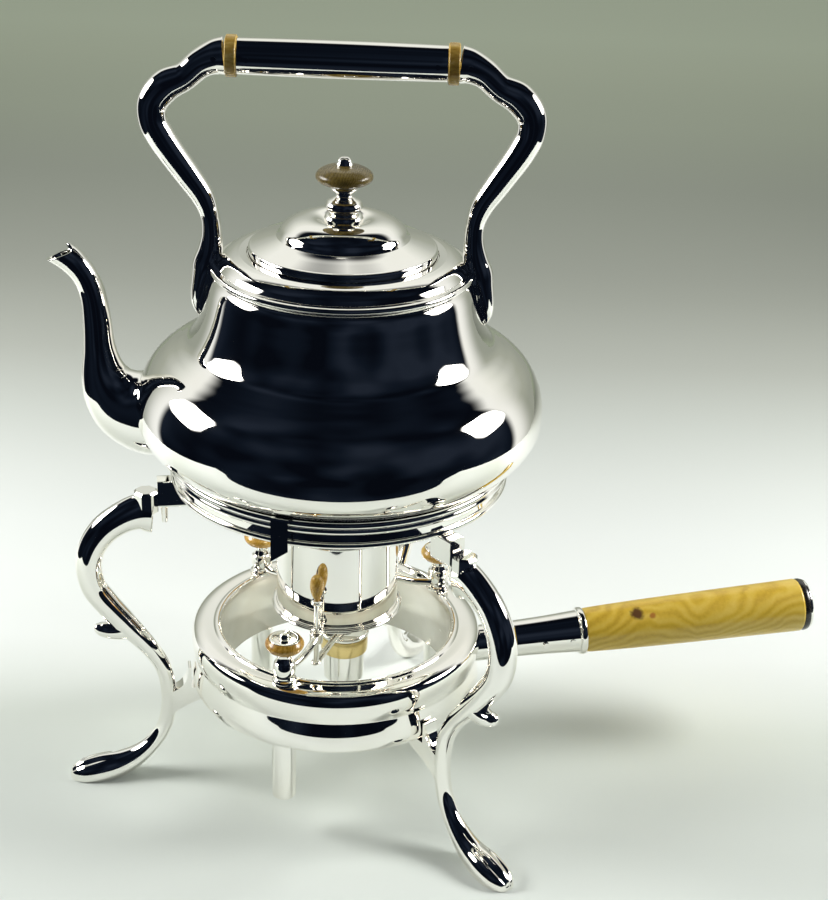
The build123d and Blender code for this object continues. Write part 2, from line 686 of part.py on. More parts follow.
with BuildPart() as hinge_bracket:
    for start in (-HINGE_LENGTH / 2, HINGE_LENGTH / 6):
        with BuildSketch(Plane.YZ.offset(start)):
            with Locations((HINGE_Y, HINGE_Z)):
                Circle(HINGE_KNUCKLE_R)
            with Locations((HINGE_Y + 0.4, HINGE_Z + 0.2)):
                Rectangle(6.0, 1.2, align=(Align.MIN, Align.MIN))
            with Locations((HINGE_Y, HINGE_Z)):
                Circle(HINGE_PIN_R + SEATED_FIT, mode=Mode.SUBTRACT)
        extrude(amount=HINGE_LENGTH / 3)
    add(collar.part, mode=Mode.SUBTRACT)
save(hinge_bracket.part, "hinge_bracket")

with BuildPart() as hinge_pin:
    with Locations(Location((0, HINGE_Y, HINGE_Z), (0, 90, 0))):
        Cylinder(HINGE_PIN_R, HINGE_LENGTH + 0.6)
save(hinge_pin.part, "hinge_pin")

DISC_Z = FINIAL_Z + 16.4  # underside of the wooden disc
DISC_HEIGHT = 9.0
with BuildPart() as finial_base:
    with BuildSketch(Plane.XZ):
        with BuildLine():
            Polyline(
                (FINIAL_ROD_R, DISC_Z),
                (FINIAL_ROD_R, FINIAL_Z + SEATED_FIT),
                (8.9, FINIAL_Z + SEATED_FIT),
                (8.9, FINIAL_Z + 2.2),
            )
            ThreePointArc((8.9, FINIAL_Z + 2.2), (7.8, FINIAL_Z + 3.6), (6.0, FINIAL_Z + 4.2))
            ThreePointArc((6.0, FINIAL_Z + 4.2), (8.4, FINIAL_Z + 7.4), (5.6, FINIAL_Z + 10.6))
            ThreePointArc((5.6, FINIAL_Z + 10.6), (3.4, FINIAL_Z + 12.6), (4.2, FINIAL_Z + 14.0))
            ThreePointArc((4.2, FINIAL_Z + 14.0), (6.0, FINIAL_Z + 15.2), (5.2, DISC_Z))
            Line((5.2, DISC_Z), (FINIAL_ROD_R, DISC_Z))
        make_face()
    revolve(axis=Axis.Z)
save(finial_base.part, "finial_base")

with BuildPart() as finial_disc:
    with BuildSketch(Plane.XZ):
        with BuildLine():
            Line((FINIAL_ROD_R + SEATED_FIT, DISC_Z), (5.6, DISC_Z))
            Spline(
                (5.6, DISC_Z),
                (FINIAL_DISC_R, DISC_Z + DISC_HEIGHT * 0.48),
                (5.0, DISC_Z + DISC_HEIGHT),
                tangents=((1, 0.25), (-1, 0.2)),
            )
            Polyline(
                (5.0, DISC_Z + DISC_HEIGHT),
                (FINIAL_ROD_R + SEATED_FIT, DISC_Z + DISC_HEIGHT),
                (FINIAL_ROD_R + SEATED_FIT, DISC_Z),
            )
        make_face()
    revolve(axis=Axis.Z)
save(finial_disc.part, "finial_disc")

BUTTON_Z = DISC_Z + DISC_HEIGHT
ROD_BOTTOM = FINIAL_Z - LID_SHEET - 5.0
with BuildPart() as finial_button:
    with BuildSketch(Plane.XZ):
        with BuildLine():
            Line((0, BUTTON_Z + 4.2), (0, ROD_BOTTOM))
            Polyline(
                (0, ROD_BOTTOM),
                (FINIAL_ROD_R - SEATED_FIT, ROD_BOTTOM),
                (FINIAL_ROD_R - SEATED_FIT, BUTTON_Z),
                (3.7, BUTTON_Z),
                (3.7, BUTTON_Z + 1.4),
                (3.0, BUTTON_Z + 2.0),
            )
            Spline((3.0, BUTTON_Z + 2.0), (0, BUTTON_Z + 4.2), tangents=((-0.3, 1), (-1, 0)))
        make_face()
    revolve(axis=Axis.Z)
save(finial_button.part, "finial_button")

with BuildPart() as finial_nut:
    with BuildSketch(Plane.XY.offset(FINIAL_Z - LID_SHEET - SEATED_FIT)):
        RegularPolygon(4.0, 6)
        Circle(FINIAL_ROD_R, mode=Mode.SUBTRACT)
    extrude(amount=-3.0)
save(finial_nut.part, "finial_nut")

# ---------------------------------------------------------------- lamp
with BuildPart() as post:
    with BuildSketch(Plane.XZ):
        with BuildLine():
            Polyline(
                (0, POST_TOP),
                (0, POST_FOOT_Z),
                (POST_FOOT_R - 1.0, POST_FOOT_Z),
                (POST_FOOT_R, POST_FOOT_Z + 1.0),
                (POST_FOOT_R, TANK_BOTTOM - SEATED_FIT),
                (POST_STUD_R, TANK_BOTTOM - SEATED_FIT),
                (POST_STUD_R, TANK_TOP),
                (POST_R + 0.7, TANK_TOP),
                (POST_R + 0.7, TANK_TOP + 1.6),
                (POST_R - 0.5, TANK_TOP + 2.6),
            )
            ThreePointArc(
                (POST_R - 0.5, TANK_TOP + 2.6),
                (POST_R + 0.3, TANK_TOP + 6.6),
                (POST_R - 0.4, TANK_TOP + 10.6),
            )
            ThreePointArc(
                (POST_R - 0.4, TANK_TOP + 10.6), (POST_R - 2.0, TANK_TOP + 13.6), (POST_R - 1.4, POST_TOP)
            )
            Line((POST_R - 1.4, POST_TOP), (0, POST_TOP))
        make_face()
    revolve(axis=Axis.Z)
    with BuildSketch(Plane.XY.offset(POST_TOP)):
        Circle(KNOB_SCREW_R + RUNNING_FIT)
    extrude(amount=-10.0, mode=Mode.SUBTRACT)

with BuildPart() as knob_disc:
    with BuildSketch(Plane.XZ):
        with BuildLine():
            Line((KNOB_SCREW_R + SEATED_FIT, KNOB_BOTTOM), (POST_R, KNOB_BOTTOM))
            Spline(
                (POST_R, KNOB_BOTTOM),
                (KNOB_R, KNOB_BOTTOM + KNOB_HEIGHT * 0.55),
                (KNOB_PLATE_R + 0.2, KNOB_TOP),
                tangents=((1, 0.3), (-1, 0.2)),
            )
            Polyline(
                (KNOB_PLATE_R + 0.2, KNOB_TOP),
                (KNOB_PLATE_R + 0.2, KNOB_TOP - 0.6),
                (KNOB_SCREW_R + SEATED_FIT, KNOB_TOP - 0.6),
                (KNOB_SCREW_R + SEATED_FIT, KNOB_BOTTOM),
            )
        make_face()
    revolve(axis=Axis.Z)

with BuildPart() as knob_screw:
    with BuildSketch(Plane.XZ):
        with BuildLine():
            Polyline(
                (0, KNOB_TOP + 2.9),
                (0, POST_TOP - 9.0),
                (KNOB_SCREW_R, POST_TOP - 9.0),
                (KNOB_SCREW_R, KNOB_TOP - 0.6),
                (KNOB_PLATE_R, KNOB_TOP - 0.6),
                (KNOB_PLATE_R, KNOB_TOP + 0.2),
                (2.6, KNOB_TOP + 0.4),
                (2.2, KNOB_TOP + 2.2),
            )
            Spline((2.2, KNOB_TOP + 2.2), (0, KNOB_TOP + 2.9), tangents=((-0.5, 1), (-1, 0)))
        make_face()
    revolve(axis=Axis.Z)

for number, angle in enumerate(POST_ANGLES, 1):
    here = Location(on_circle(POST_CIRCLE_R, angle))
    save(post.part.moved(here), f"lamp_post_{number}")
    save(knob_disc.part.moved(here), f"knob_disc_{number}")
    save(knob_screw.part.moved(here), f"knob_screw_{number}")

POST_PLACES = [on_circle(POST_CIRCLE_R, angle)[:2] for angle in POST_ANGLES]
with BuildPart() as tank_form:
    with BuildSketch(Plane.XZ):
        with BuildLine():
            Line((TANK_BORE_R, TANK_BOTTOM), (TANK_BORE_R, TANK_TOP - 2.6))
            ThreePointArc(
                (TANK_BORE_R, TANK_TOP - 2.6),
                (TANK_BORE_R + 0.8, TANK_TOP - 0.8),
                (TANK_BORE_R + 2.6, TANK_TOP),
            )
            Line((TANK_BORE_R + 2.6, TANK_TOP), (TANK_SHOULDER_R - 4.6, TANK_TOP))
            Spline(
                (TANK_SHOULDER_R - 4.6, TANK_TOP),
                (TANK_SHOULDER_R - 1.4, TANK_TOP - 1.5),
                (TANK_SHOULDER_R - 0.2, TANK_TOP - 4.6),
                (TANK_SHOULDER_R, TANK_TOP - 7.2),
                (TANK_SHOULDER_R - 0.5, TANK_TOP - 11.4),
                (TANK_WAIST_R, TANK_WAIST_Z),
                tangents=((1, 0), (-0.5, -1)),
            )
            Spline(
                (TANK_WAIST_R, TANK_WAIST_Z),
                (TANK_FLANGE_R - 0.95, TANK_WAIST_Z - 4.0),
                (TANK_FLANGE_R - 0.35, TANK_WAIST_Z - 7.4),
                (TANK_FLANGE_R, TANK_BOTTOM + 5.0),
                (TANK_FLANGE_R - 0.9, TANK_BOTTOM + 1.6),
                (TANK_FLANGE_R - 3.2, TANK_BOTTOM),
                tangents=((0.22, -1), (-1, 0)),
            )
            Line((TANK_FLANGE_R - 3.2, TANK_BOTTOM), (TANK_BORE_R, TANK_BOTTOM))
        make_face()
        with Locations((TANK_BORE_R + 1.0, TANK_TOP - 2.4), (TANK_BORE_R + 2.4, TANK_TOP)):
            Circle(1.0)
    revolve(axis=Axis.Z)

with BuildPart() as lamp_tank:
    add(tank_form.part)
    with BuildSketch(Plane.XZ):
        with BuildLine():
            Polyline(
                (TANK_BORE_R + TANK_WALL, TANK_BOTTOM + TANK_WALL),
                (TANK_BORE_R + TANK_WALL, TANK_TOP - 4.0),
                (TANK_BORE_R + 4.0, TANK_TOP - TANK_WALL - 0.4),
                (TANK_SHOULDER_R - 5.4, TANK_TOP - TANK_WALL - 0.4),
                (TANK_SHOULDER_R - 2.2 - TANK_WALL, TANK_TOP - 3.4),
                (TANK_SHOULDER_R - 0.5 - TANK_WALL, TANK_TOP - 7.0),
                (TANK_WAIST_R - 0.3 - TANK_WALL, TANK_WAIST_Z),
                (TANK_WAIST_R - 0.3 - TANK_WALL, TANK_BOTTOM + TANK_WALL),
                (TANK_BORE_R + TANK_WALL, TANK_BOTTOM + TANK_WALL),
            )
        make_face()
    revolve(axis=Axis.Z, mode=Mode.SUBTRACT)
    with BuildSketch(Plane.XY.offset(TANK_BOTTOM)):
        with Locations(*POST_PLACES):
            Circle(POST_STUD_R + SEATED_FIT)
    extrude(amount=TANK_TOP - TANK_BOTTOM, mode=Mode.SUBTRACT)
    with BuildSketch(Plane.XY.offset(TANK_TOP - SEATED_FIT)):
        with Locations(*POST_PLACES):
            Circle(POST_R + 0.7 + SEATED_FIT)
    extrude(amount=3.0, mode=Mode.SUBTRACT)
    bore = Plane(origin=on_circle(TANK_BORE_R - 4.0, FEED_ANGLE, FEED_Z), z_dir=on_circle(1, FEED_ANGLE))
    with BuildSketch(bore):
        Circle(FEED_R + SEATED_FIT)
    extrude(amount=4.0 + 2 * TANK_WALL, mode=Mode.SUBTRACT)
save(lamp_tank.part, "lamp_tank")

with BuildPart() as burner_tube:
    with BuildSketch(Plane.XY.offset(BURNER_BOTTOM)):
        with Locations((BURNER_X, 0)):
            Circle(BURNER_R)
    extrude(amount=BURNER_TOP - 1.0 - BURNER_BOTTOM)
    with BuildSketch(Plane.XY.offset(BURNER_BOTTOM + 1.5)):
        with Locations((BURNER_X, 0)):
            Circle(WICK_R + SEATED_FIT)
    extrude(amount=BURNER_TOP, mode=Mode.SUBTRACT)

with BuildPart() as feed_tube:
    with BuildSketch(
        Plane(origin=on_circle(TANK_BORE_R + TANK_WALL, FEED_ANGLE, FEED_Z), z_dir=on_circle(-1, FEED_ANGLE))
    ):
        Circle(FEED_R)
    extrude(amount=TANK_BORE_R - BURNER_R / 2)
    with BuildSketch(Plane.XY.offset(BURNER_BOTTOM - 1.0)):
        with Locations((BURNER_X, 0)):
            Circle(BURNER_R + SEATED_FIT)
    extrude(amount=BURNER_TOP - BURNER_BOTTOM, mode=Mode.SUBTRACT)
save(burner_tube.part, "burner_tube")
save(feed_tube.part.solids().sort_by(SortBy.VOLUME)[-1], "feed_tube")

with BuildPart() as burner_collar:
    with BuildSketch(Plane.XY.offset(BURNER_TOP - BURNER_COLLAR_HEIGHT)):
        with Locations((BURNER_X, 0)):
            Circle(BURNER_COLLAR_R)
            Circle(BURNER_R + SEATED_FIT, mode=Mode.SUBTRACT)
    extrude(amount=BURNER_COLLAR_HEIGHT)
    fillet(burner_collar.edges().group_by(Axis.Z)[-1].sort_by(SortBy.LENGTH)[-1], 0.6)
save(burner_collar.part, "burner_collar")

with BuildPart() as wick:
    with BuildSketch(Plane.XY.offset(BURNER_BOTTOM + 1.6)):
        with Locations((BURNER_X, 0)):
            Circle(WICK_R)
    extrude(amount=BURNER_TOP - 0.4 - BURNER_BOTTOM - 1.6)
save(wick.part, "wick")

with BuildPart() as chimney:
    with BuildSketch(Plane.XY.offset(CHIMNEY_BOTTOM)):
        Circle(CHIMNEY_R)
        Circle(CHIMNEY_R - CHIMNEY_WALL, mode=Mode.SUBTRACT)
    extrude(amount=CHIMNEY_TOP - CHIMNEY_BOTTOM)
    with BuildSketch(Plane.XZ):
        with Locations((CHIMNEY_R - CHIMNEY_WALL / 2, CHIMNEY_TOP)):
            Circle(CHIMNEY_WALL)
    revolve(axis=Axis.Z)
save(chimney.part, "chimney")

with BuildPart() as gallery:
    with BuildSketch(Plane.XZ):
        with Locations((CHIMNEY_R + SEATED_FIT, CHIMNEY_BOTTOM)):
            Rectangle(GALLERY_BEAD, 4 * GALLERY_BEAD, align=(Align.MIN, Align.MIN))
        with Locations(
            (CHIMNEY_R + GALLERY_BEAD + 0.4, CHIMNEY_BOTTOM + GALLERY_BEAD),
            (CHIMNEY_R + GALLERY_BEAD + 0.1, CHIMNEY_BOTTOM + 3 * GALLERY_BEAD),
        ):
            Circle(GALLERY_BEAD)
    revolve(axis=Axis.Z)
    for angle in POST_ANGLES:
        sweep_angle = SPINDLE_ANGLE - POST_ANGLES[0]
        stops = [
            on_circle(CHIMNEY_R + 1.6, angle + sweep_angle, CHIMNEY_BOTTOM + 1.6),
            on_circle(SPINDLE_CIRCLE_R + 4.0, angle + sweep_angle, CHIMNEY_BOTTOM - 0.4),
            on_circle(SPINDLE_CIRCLE_R + 13.0, angle + sweep_angle / 2, TANK_TOP + 6.0),
            on_circle(POST_CIRCLE_R - 3.4, angle, TANK_TOP + 4.0),
        ]
        for i, stop in enumerate(stops):
            before = Vector(*stops[max(i - 1, 0)])
            after = Vector(*stops[min(i + 1, len(stops) - 1)])
            with BuildSketch(Plane(origin=stop, x_dir=(0, 0, 1), z_dir=after - before)):
                Circle(GALLERY_ARM_R)
        loft()
        add(post.part.moved(Location(on_circle(POST_CIRCLE_R, angle))), mode=Mode.SUBTRACT)
    with BuildSketch(Plane.XY.offset(EYE_BOTTOM)):
        with Locations(on_circle(SPINDLE_CIRCLE_R, SPINDLE_ANGLE)[:2]):
            Circle(SPINDLE_EYE_R)
    extrude(amount=SPINDLE_EYE_HEIGHT)
    with BuildSketch(Plane.XY.offset(EYE_BOTTOM - 5.0)):
        with Locations(on_circle(SPINDLE_CIRCLE_R, SPINDLE_ANGLE)[:2]):
            Circle(SPINDLE_R + RUNNING_FIT)
    extrude(amount=SPINDLE_EYE_HEIGHT + 10.0, mode=Mode.SUBTRACT)
    with BuildSketch(Plane.XY.offset(EYE_BOTTOM + SPINDLE_EYE_HEIGHT)):
        with Locations(on_circle(SPINDLE_CIRCLE_R, SPINDLE_ANGLE)[:2]):
            Circle(SPINDLE_R + 1.1 + BODY_GAP)
    extrude(amount=6.0, mode=Mode.SUBTRACT)
    with BuildSketch(Plane.XY.offset(CHIMNEY_BOTTOM - 10.0)):
        Circle(CHIMNEY_R + SEATED_FIT)
    extrude(amount=30.0, mode=Mode.SUBTRACT)
save(gallery.part, "chimney_gallery")

# ---------------------------------------------------------------- snuffer
SPINDLE = on_circle(SPINDLE_CIRCLE_R, SPINDLE_ANGLE)
ARM_BASE = SNUFFER_BOTTOM + SNUFFER_THICKNESS
ARM_THICKNESS = 1.6
ARM_BLADE = 4.0
with BuildPart() as snuffer:
    with BuildSketch(Plane.XY.offset(SNUFFER_BOTTOM)):
        with Locations((BURNER_X, 0)):
            Circle(SNUFFER_R)
    extrude(amount=SNUFFER_THICKNESS)
    chamfer(snuffer.edges().group_by(Axis.Z)[-1], 0.6)
    reach = Vector(BURNER_X - SPINDLE[0], -SPINDLE[1], 0)
    with BuildSketch(Plane(origin=(SPINDLE[0], SPINDLE[1], ARM_BASE), x_dir=reach, z_dir=(0, 0, 1))):
        Rectangle(reach.length, ARM_BLADE, align=(Align.MIN, Align.CENTER))
        Circle(ARM_BLADE / 2 + 0.6)
        with Locations((reach.length, 0)):
            Circle(ARM_BLADE)
    extrude(amount=ARM_THICKNESS)
    with BuildSketch(Plane.XY.offset(ARM_BASE)):
        with Locations(SPINDLE[:2]):
            Circle(SPINDLE_R)
    extrude(amount=ACORN_BOTTOM - ARM_BASE)
    with BuildSketch(Plane.XY.offset(EYE_BOTTOM + SPINDLE_EYE_HEIGHT + BODY_GAP)):
        with Locations(SPINDLE[:2]):
            Circle(SPINDLE_R + 1.1)
    extrude(amount=1.4)
save(snuffer.part, "snuffer")

with BuildPart() as acorn:
    with BuildSketch(Plane.XZ):
        with BuildLine():
            Line((0, ACORN_BOTTOM + ACORN_HEIGHT), (0, ACORN_BOTTOM))
            Line((0, ACORN_BOTTOM), (1.2, ACORN_BOTTOM))
            Spline(
                (1.2, ACORN_BOTTOM),
                (ACORN_R, ACORN_BOTTOM + ACORN_HEIGHT * 0.6),
                (0, ACORN_BOTTOM + ACORN_HEIGHT),
                tangents=((0.4, 1), (-1, 0)),
            )
        make_face()
    revolve(axis=Axis.Z)
save(acorn.part.moved(Location(SPINDLE)), "acorn")

with BuildPart() as acorn_ring:
    with BuildSketch(Plane.XZ):
        with Locations((SPINDLE_R, ACORN_BOTTOM - 2.6)):
            Rectangle(0.6, 2.6, align=(Align.MIN, Align.MIN))
        with Locations((SPINDLE_R + 0.6, ACORN_BOTTOM - 1.3)):
            Circle(0.9)
        with Locations((0, ACORN_BOTTOM - 2.6)):
            Rectangle(SPINDLE_R, 2.6, align=(Align.MIN, Align.MIN), mode=Mode.SUBTRACT)
    revolve(axis=Axis.Z)
save(acorn_ring.part.moved(Location(SPINDLE)), "acorn_ring")

# ---------------------------------------------------------------- lamp handle
HANDLE_ORIGIN = on_circle(HANDLE_ROOT_R, HANDLE_ANGLE, HANDLE_ROOT_Z)
HANDLE_DIR = Vector(*on_circle(cos(radians(HANDLE_TILT)), HANDLE_ANGLE, sin(radians(HANDLE_TILT))))
SIDE_DIR = Vector(*on_circle(1, HANDLE_ANGLE - 90))
LENGTHWISE = Plane(origin=HANDLE_ORIGIN, x_dir=HANDLE_DIR, z_dir=SIDE_DIR)
HANDLE_LINE = Axis(HANDLE_ORIGIN, HANDLE_DIR)


SOCKET_START = FERRULE_LENGTH - WOOD_TENON_LENGTH - 0.2
ROD_START = FERRULE_LENGTH - WOOD_TENON_LENGTH - 12.0
with BuildPart() as ferrule:
    with BuildSketch(LENGTHWISE):
        with BuildLine():
            Line((0, 0), (0, FERRULE_R))
            Line((0, FERRULE_R), (12.0, FERRULE_R))
            Spline(
                (12.0, FERRULE_R),
                (FERRULE_LENGTH - 20.0, FERRULE_R + 0.7),
                (FERRULE_LENGTH - 3.2, FERRULE_MOUTH_R - 0.4),
                tangents=((1, 0), (1, 0.1)),
            )
            Polyline(
                (FERRULE_LENGTH - 3.2, FERRULE_MOUTH_R - 0.4),
                (FERRULE_LENGTH, FERRULE_MOUTH_R - 0.4),
                (FERRULE_LENGTH, 0),
                (0, 0),
            )
        make_face()
        with Locations((FERRULE_LENGTH - 1.6, FERRULE_MOUTH_R - 0.6)):
            Circle(1.5)
    revolve(axis=HANDLE_LINE)
    add(tank_form.part, mode=Mode.SUBTRACT)
    with BuildSketch(LENGTHWISE):
        Rectangle(SOCKET_START, TIE_ROD_R + SEATED_FIT, align=(Align.MIN, Align.MIN))
        with Locations((SOCKET_START, 0)):
            Rectangle(WOOD_TENON_LENGTH + 3.0, WOOD_TENON_R + SEATED_FIT, align=(Align.MIN, Align.MIN))
        Rectangle(FERRULE_LENGTH / 2, TIE_ROD_R + 1.0, align=(Align.MIN, Align.MIN), mode=Mode.SUBTRACT)
    revolve(axis=HANDLE_LINE, mode=Mode.SUBTRACT)
SCREW_R = 1.5
SCREW_STOPS = (FERRULE_LENGTH - 22.0, FERRULE_LENGTH - 8.0)
with BuildPart() as ferrule_screws:
    for stop in SCREW_STOPS:
        middle = LENGTHWISE.from_local_coords((stop, 0, FERRULE_R - 3.5))
        with BuildSketch(Plane(origin=middle, z_dir=SIDE_DIR)):
            Circle(SCREW_R)
        extrude(amount=5.4)
with BuildPart() as ferrule_bored:
    add(ferrule.part)
    add(ferrule_screws.part, mode=Mode.SUBTRACT)
ferrule_piece = ferrule_bored.part.solids().sort_by(SortBy.VOLUME)[-1]
save(ferrule_piece, "handle_ferrule")

with BuildPart() as wood_grip:
    with BuildSketch(LENGTHWISE):
        with BuildLine():
            Polyline(
                (WOOD_END, TIE_ROD_R + SEATED_FIT),
                (WOOD_START - WOOD_TENON_LENGTH, TIE_ROD_R + SEATED_FIT),
                (WOOD_START - WOOD_TENON_LENGTH, WOOD_TENON_R),
                (WOOD_START, WOOD_TENON_R),
                (WOOD_START, FERRULE_MOUTH_R),
            )
            Spline(
                (WOOD_START, FERRULE_MOUTH_R),
                (WOOD_START + WOOD_LENGTH / 2, (FERRULE_MOUTH_R + WOOD_END_R) / 2 + 0.3),
                (WOOD_END - 1.0, WOOD_END_R),
            )
            Polyline(
                (WOOD_END - 1.0, WOOD_END_R),
                (WOOD_END, WOOD_END_R - 0.6),
                (WOOD_END, TIE_ROD_R + SEATED_FIT),
            )
        make_face()
    revolve(axis=HANDLE_LINE)
    add(ferrule_screws.part, mode=Mode.SUBTRACT)
save(ferrule_screws.part, "ferrule_screws")
save(wood_grip.part, "lamp_handle_wood")

with BuildPart() as handle_washer:
    with BuildSketch(LENGTHWISE):
        with Locations((WOOD_END, TIE_ROD_R + SEATED_FIT)):
            Rectangle(WASHER_THICKNESS, WOOD_END_R - 0.2 - TIE_ROD_R, align=(Align.MIN, Align.MIN))
    revolve(axis=HANDLE_LINE)
save(handle_washer.part, "handle_washer")

with BuildPart() as end_cap:
    with BuildSketch(LENGTHWISE):
        with BuildLine():
            Polyline((CAP_START + CAP_HEIGHT, 0), (CAP_START, 0), (CAP_START, WOOD_END_R - 0.7))
            Line((CAP_START, WOOD_END_R - 0.7), (CAP_START + 1.2, WOOD_END_R - 0.9))
            Spline(
                (CAP_START + 1.2, WOOD_END_R - 0.9),
                (CAP_START + 3.4, WOOD_END_R - 5.0),
                (CAP_START + CAP_HEIGHT, 0),
                tangents=((0.5, -1), (0, -1)),
            )
        make_face()
    revolve(axis=HANDLE_LINE)
    with BuildSketch(LENGTHWISE):
        Rectangle(CAP_START + 2.4, TIE_ROD_R + SEATED_FIT, align=(Align.MIN, Align.MIN))
    revolve(axis=HANDLE_LINE, mode=Mode.SUBTRACT)
save(end_cap.part, "end_cap")

with BuildPart() as tie_rod:
    with BuildSketch(LENGTHWISE):
        with Locations((ROD_START, 0)):
            Rectangle(CAP_START + 2.3 - ROD_START, TIE_ROD_R, align=(Align.MIN, Align.MIN))
    revolve(axis=HANDLE_LINE)
save(tie_rod.part, "tie_rod")
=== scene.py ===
"""The look of a silver plated spirit kettle on its stand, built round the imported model.

Lengths in the tables are in millimetres, measured from the kettle's own upright axis.
"""

import json
from math import cos, exp, pi, radians, sin

import bmesh
import bpy
import numpy as np
from mathutils import Matrix, Vector


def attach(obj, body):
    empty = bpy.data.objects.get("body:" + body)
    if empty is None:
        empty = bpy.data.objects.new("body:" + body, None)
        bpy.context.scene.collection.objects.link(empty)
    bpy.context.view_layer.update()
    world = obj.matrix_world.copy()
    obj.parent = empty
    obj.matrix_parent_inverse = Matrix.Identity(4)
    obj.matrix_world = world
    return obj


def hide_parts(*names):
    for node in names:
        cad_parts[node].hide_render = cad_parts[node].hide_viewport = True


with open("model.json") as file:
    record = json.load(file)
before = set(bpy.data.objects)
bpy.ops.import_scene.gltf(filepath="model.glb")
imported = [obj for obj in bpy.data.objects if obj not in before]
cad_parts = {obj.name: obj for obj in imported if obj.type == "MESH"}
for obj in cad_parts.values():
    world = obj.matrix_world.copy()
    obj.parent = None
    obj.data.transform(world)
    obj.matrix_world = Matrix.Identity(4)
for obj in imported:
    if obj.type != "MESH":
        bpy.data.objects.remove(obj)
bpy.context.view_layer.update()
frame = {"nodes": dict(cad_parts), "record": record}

MM = 0.001
AXIS = Vector((-0.0560, -0.0116, 0.0))  # foot of the kettle's upright axis
LEG_ANGLES = (190.6, 310.6, 70.6)
POST_ANGLES = (250.0, 36.0, 132.0)
POST_CIRCLE = 61.5
BURNER_X = 4.0
SPINDLE = (35.0, 257.0)  # radius and angle of the snuffer's spindle
HANDLE_ANGLE = 11.0
HANDLE_TILT = 3.6
HANDLE_ROOT = (66.0, 62.7)  # radius and height where the lamp's handle starts
BAIL_LEAN = -1.6  # of the grip, towards the spout
GRIP_Z = 358.3
WELD_DISTANCE = 1e-6


# ------------------------------------------------------------------ materials
def new_group(name, inputs, outputs):
    """A shader node group with its input and output nodes."""
    group = bpy.data.node_groups.new(name, "ShaderNodeTree")
    for label, kind, value in inputs:
        socket = group.interface.new_socket(label, in_out="INPUT", socket_type=kind)
        if value is not None:
            socket.default_value = value
    for label, kind in outputs:
        group.interface.new_socket(label, in_out="OUTPUT", socket_type=kind)
    return group, group.nodes.new("NodeGroupInput"), group.nodes.new("NodeGroupOutput")


def node(tree, kind, **values):
    """A node of a tree, with its properties and the plain values of its sockets."""
    made = tree.nodes.new(kind)
    for key, value in values.items():
        if hasattr(made, key):
            setattr(made, key, value)
        else:
            made.inputs[key.replace("_", " ")].default_value = value
    return made


def ramp(tree, stops):
    """A colour ramp with the given stops of position and colour."""
    made = tree.nodes.new("ShaderNodeValToRGB")
    elements = made.color_ramp.elements
    while len(elements) < len(stops):
        elements.new(0.5)
    for element, (place, colour) in zip(elements, stops):
        element.position = place
        element.color = (*colour, 1.0)
    return made


def noise(tree, vector, **values):
    """A noise texture over the given coordinates."""
    made = node(tree, "ShaderNodeTexNoise", **values)
    tree.links.new(vector, made.inputs["Vector"])
    return made


def maths(tree, operation, *values):
    """The result of an operation on sockets and plain numbers."""
    made = node(tree, "ShaderNodeMath", operation=operation)
    for socket, value in zip(made.inputs, values):
        if isinstance(value, float):
            socket.default_value = value
        else:
            tree.links.new(value, socket)
    return made.outputs[0]


def eased(tree, value, start, end):
    """A smooth step from 0 at the start to 1 at the end."""
    made = node(
        tree, "ShaderNodeMapRange", interpolation_type="SMOOTHSTEP", From_Min=start, From_Max=end
    )
    tree.links.new(value, made.inputs["Value"])
    return made.outputs[0]


def bumped(tree, height, normal, **values):
    """A bump from a height into the socket of a normal."""
    made = node(tree, "ShaderNodeBump", **values)
    tree.links.new(height, made.inputs["Height"])
    tree.links.new(made.outputs[0], normal)
    return made


def polish_group():
    """Fine wiping marks and faint haze of polished plate: a roughness, a tint factor and a normal."""
    group, inside, outside = new_group(
        "polished_plate",
        [
            ("Mark Scale", "NodeSocketFloat", 90.0),
            ("Gloss", "NodeSocketFloat", 0.03),
            ("Haze", "NodeSocketFloat", 0.05),
            ("Wave Height", "NodeSocketFloat", 0.02),
        ],
        [("Roughness", "NodeSocketFloat"), ("Tint", "NodeSocketFloat"), ("Normal", "NodeSocketVector")],
    )
    link = group.links.new
    place = node(group, "ShaderNodeTexCoord")
    haze = noise(group, place.outputs["Object"], Scale=14.0, Detail=4.0, Roughness=0.6)
    stretch = node(group, "ShaderNodeMapping")
    stretch.inputs["Scale"].default_value = (1.0, 1.0, 7.0)
    stretch.inputs["Rotation"].default_value = (0.5, 0.9, 0.2)
    link(place.outputs["Object"], stretch.inputs["Vector"])
    marks = noise(group, stretch.outputs[0], Detail=6.0, Roughness=0.7)
    link(inside.outputs["Mark Scale"], marks.inputs["Scale"])
    sharp = maths(group, "POWER", marks.outputs["Fac"], 3.0)
    both = maths(group, "MULTIPLY", haze.outputs["Fac"], sharp)
    rough = maths(group, "MULTIPLY_ADD", both, inside.outputs["Haze"], inside.outputs["Gloss"])
    link(rough, outside.inputs["Roughness"])
    link(haze.outputs["Fac"], outside.inputs["Tint"])
    swell = noise(group, place.outputs["Object"], Scale=38.0, Detail=2.0)
    bump = bumped(group, swell.outputs["Fac"], outside.inputs["Normal"], Distance=0.0004)
    link(inside.outputs["Wave Height"], bump.inputs["Strength"])
    return group


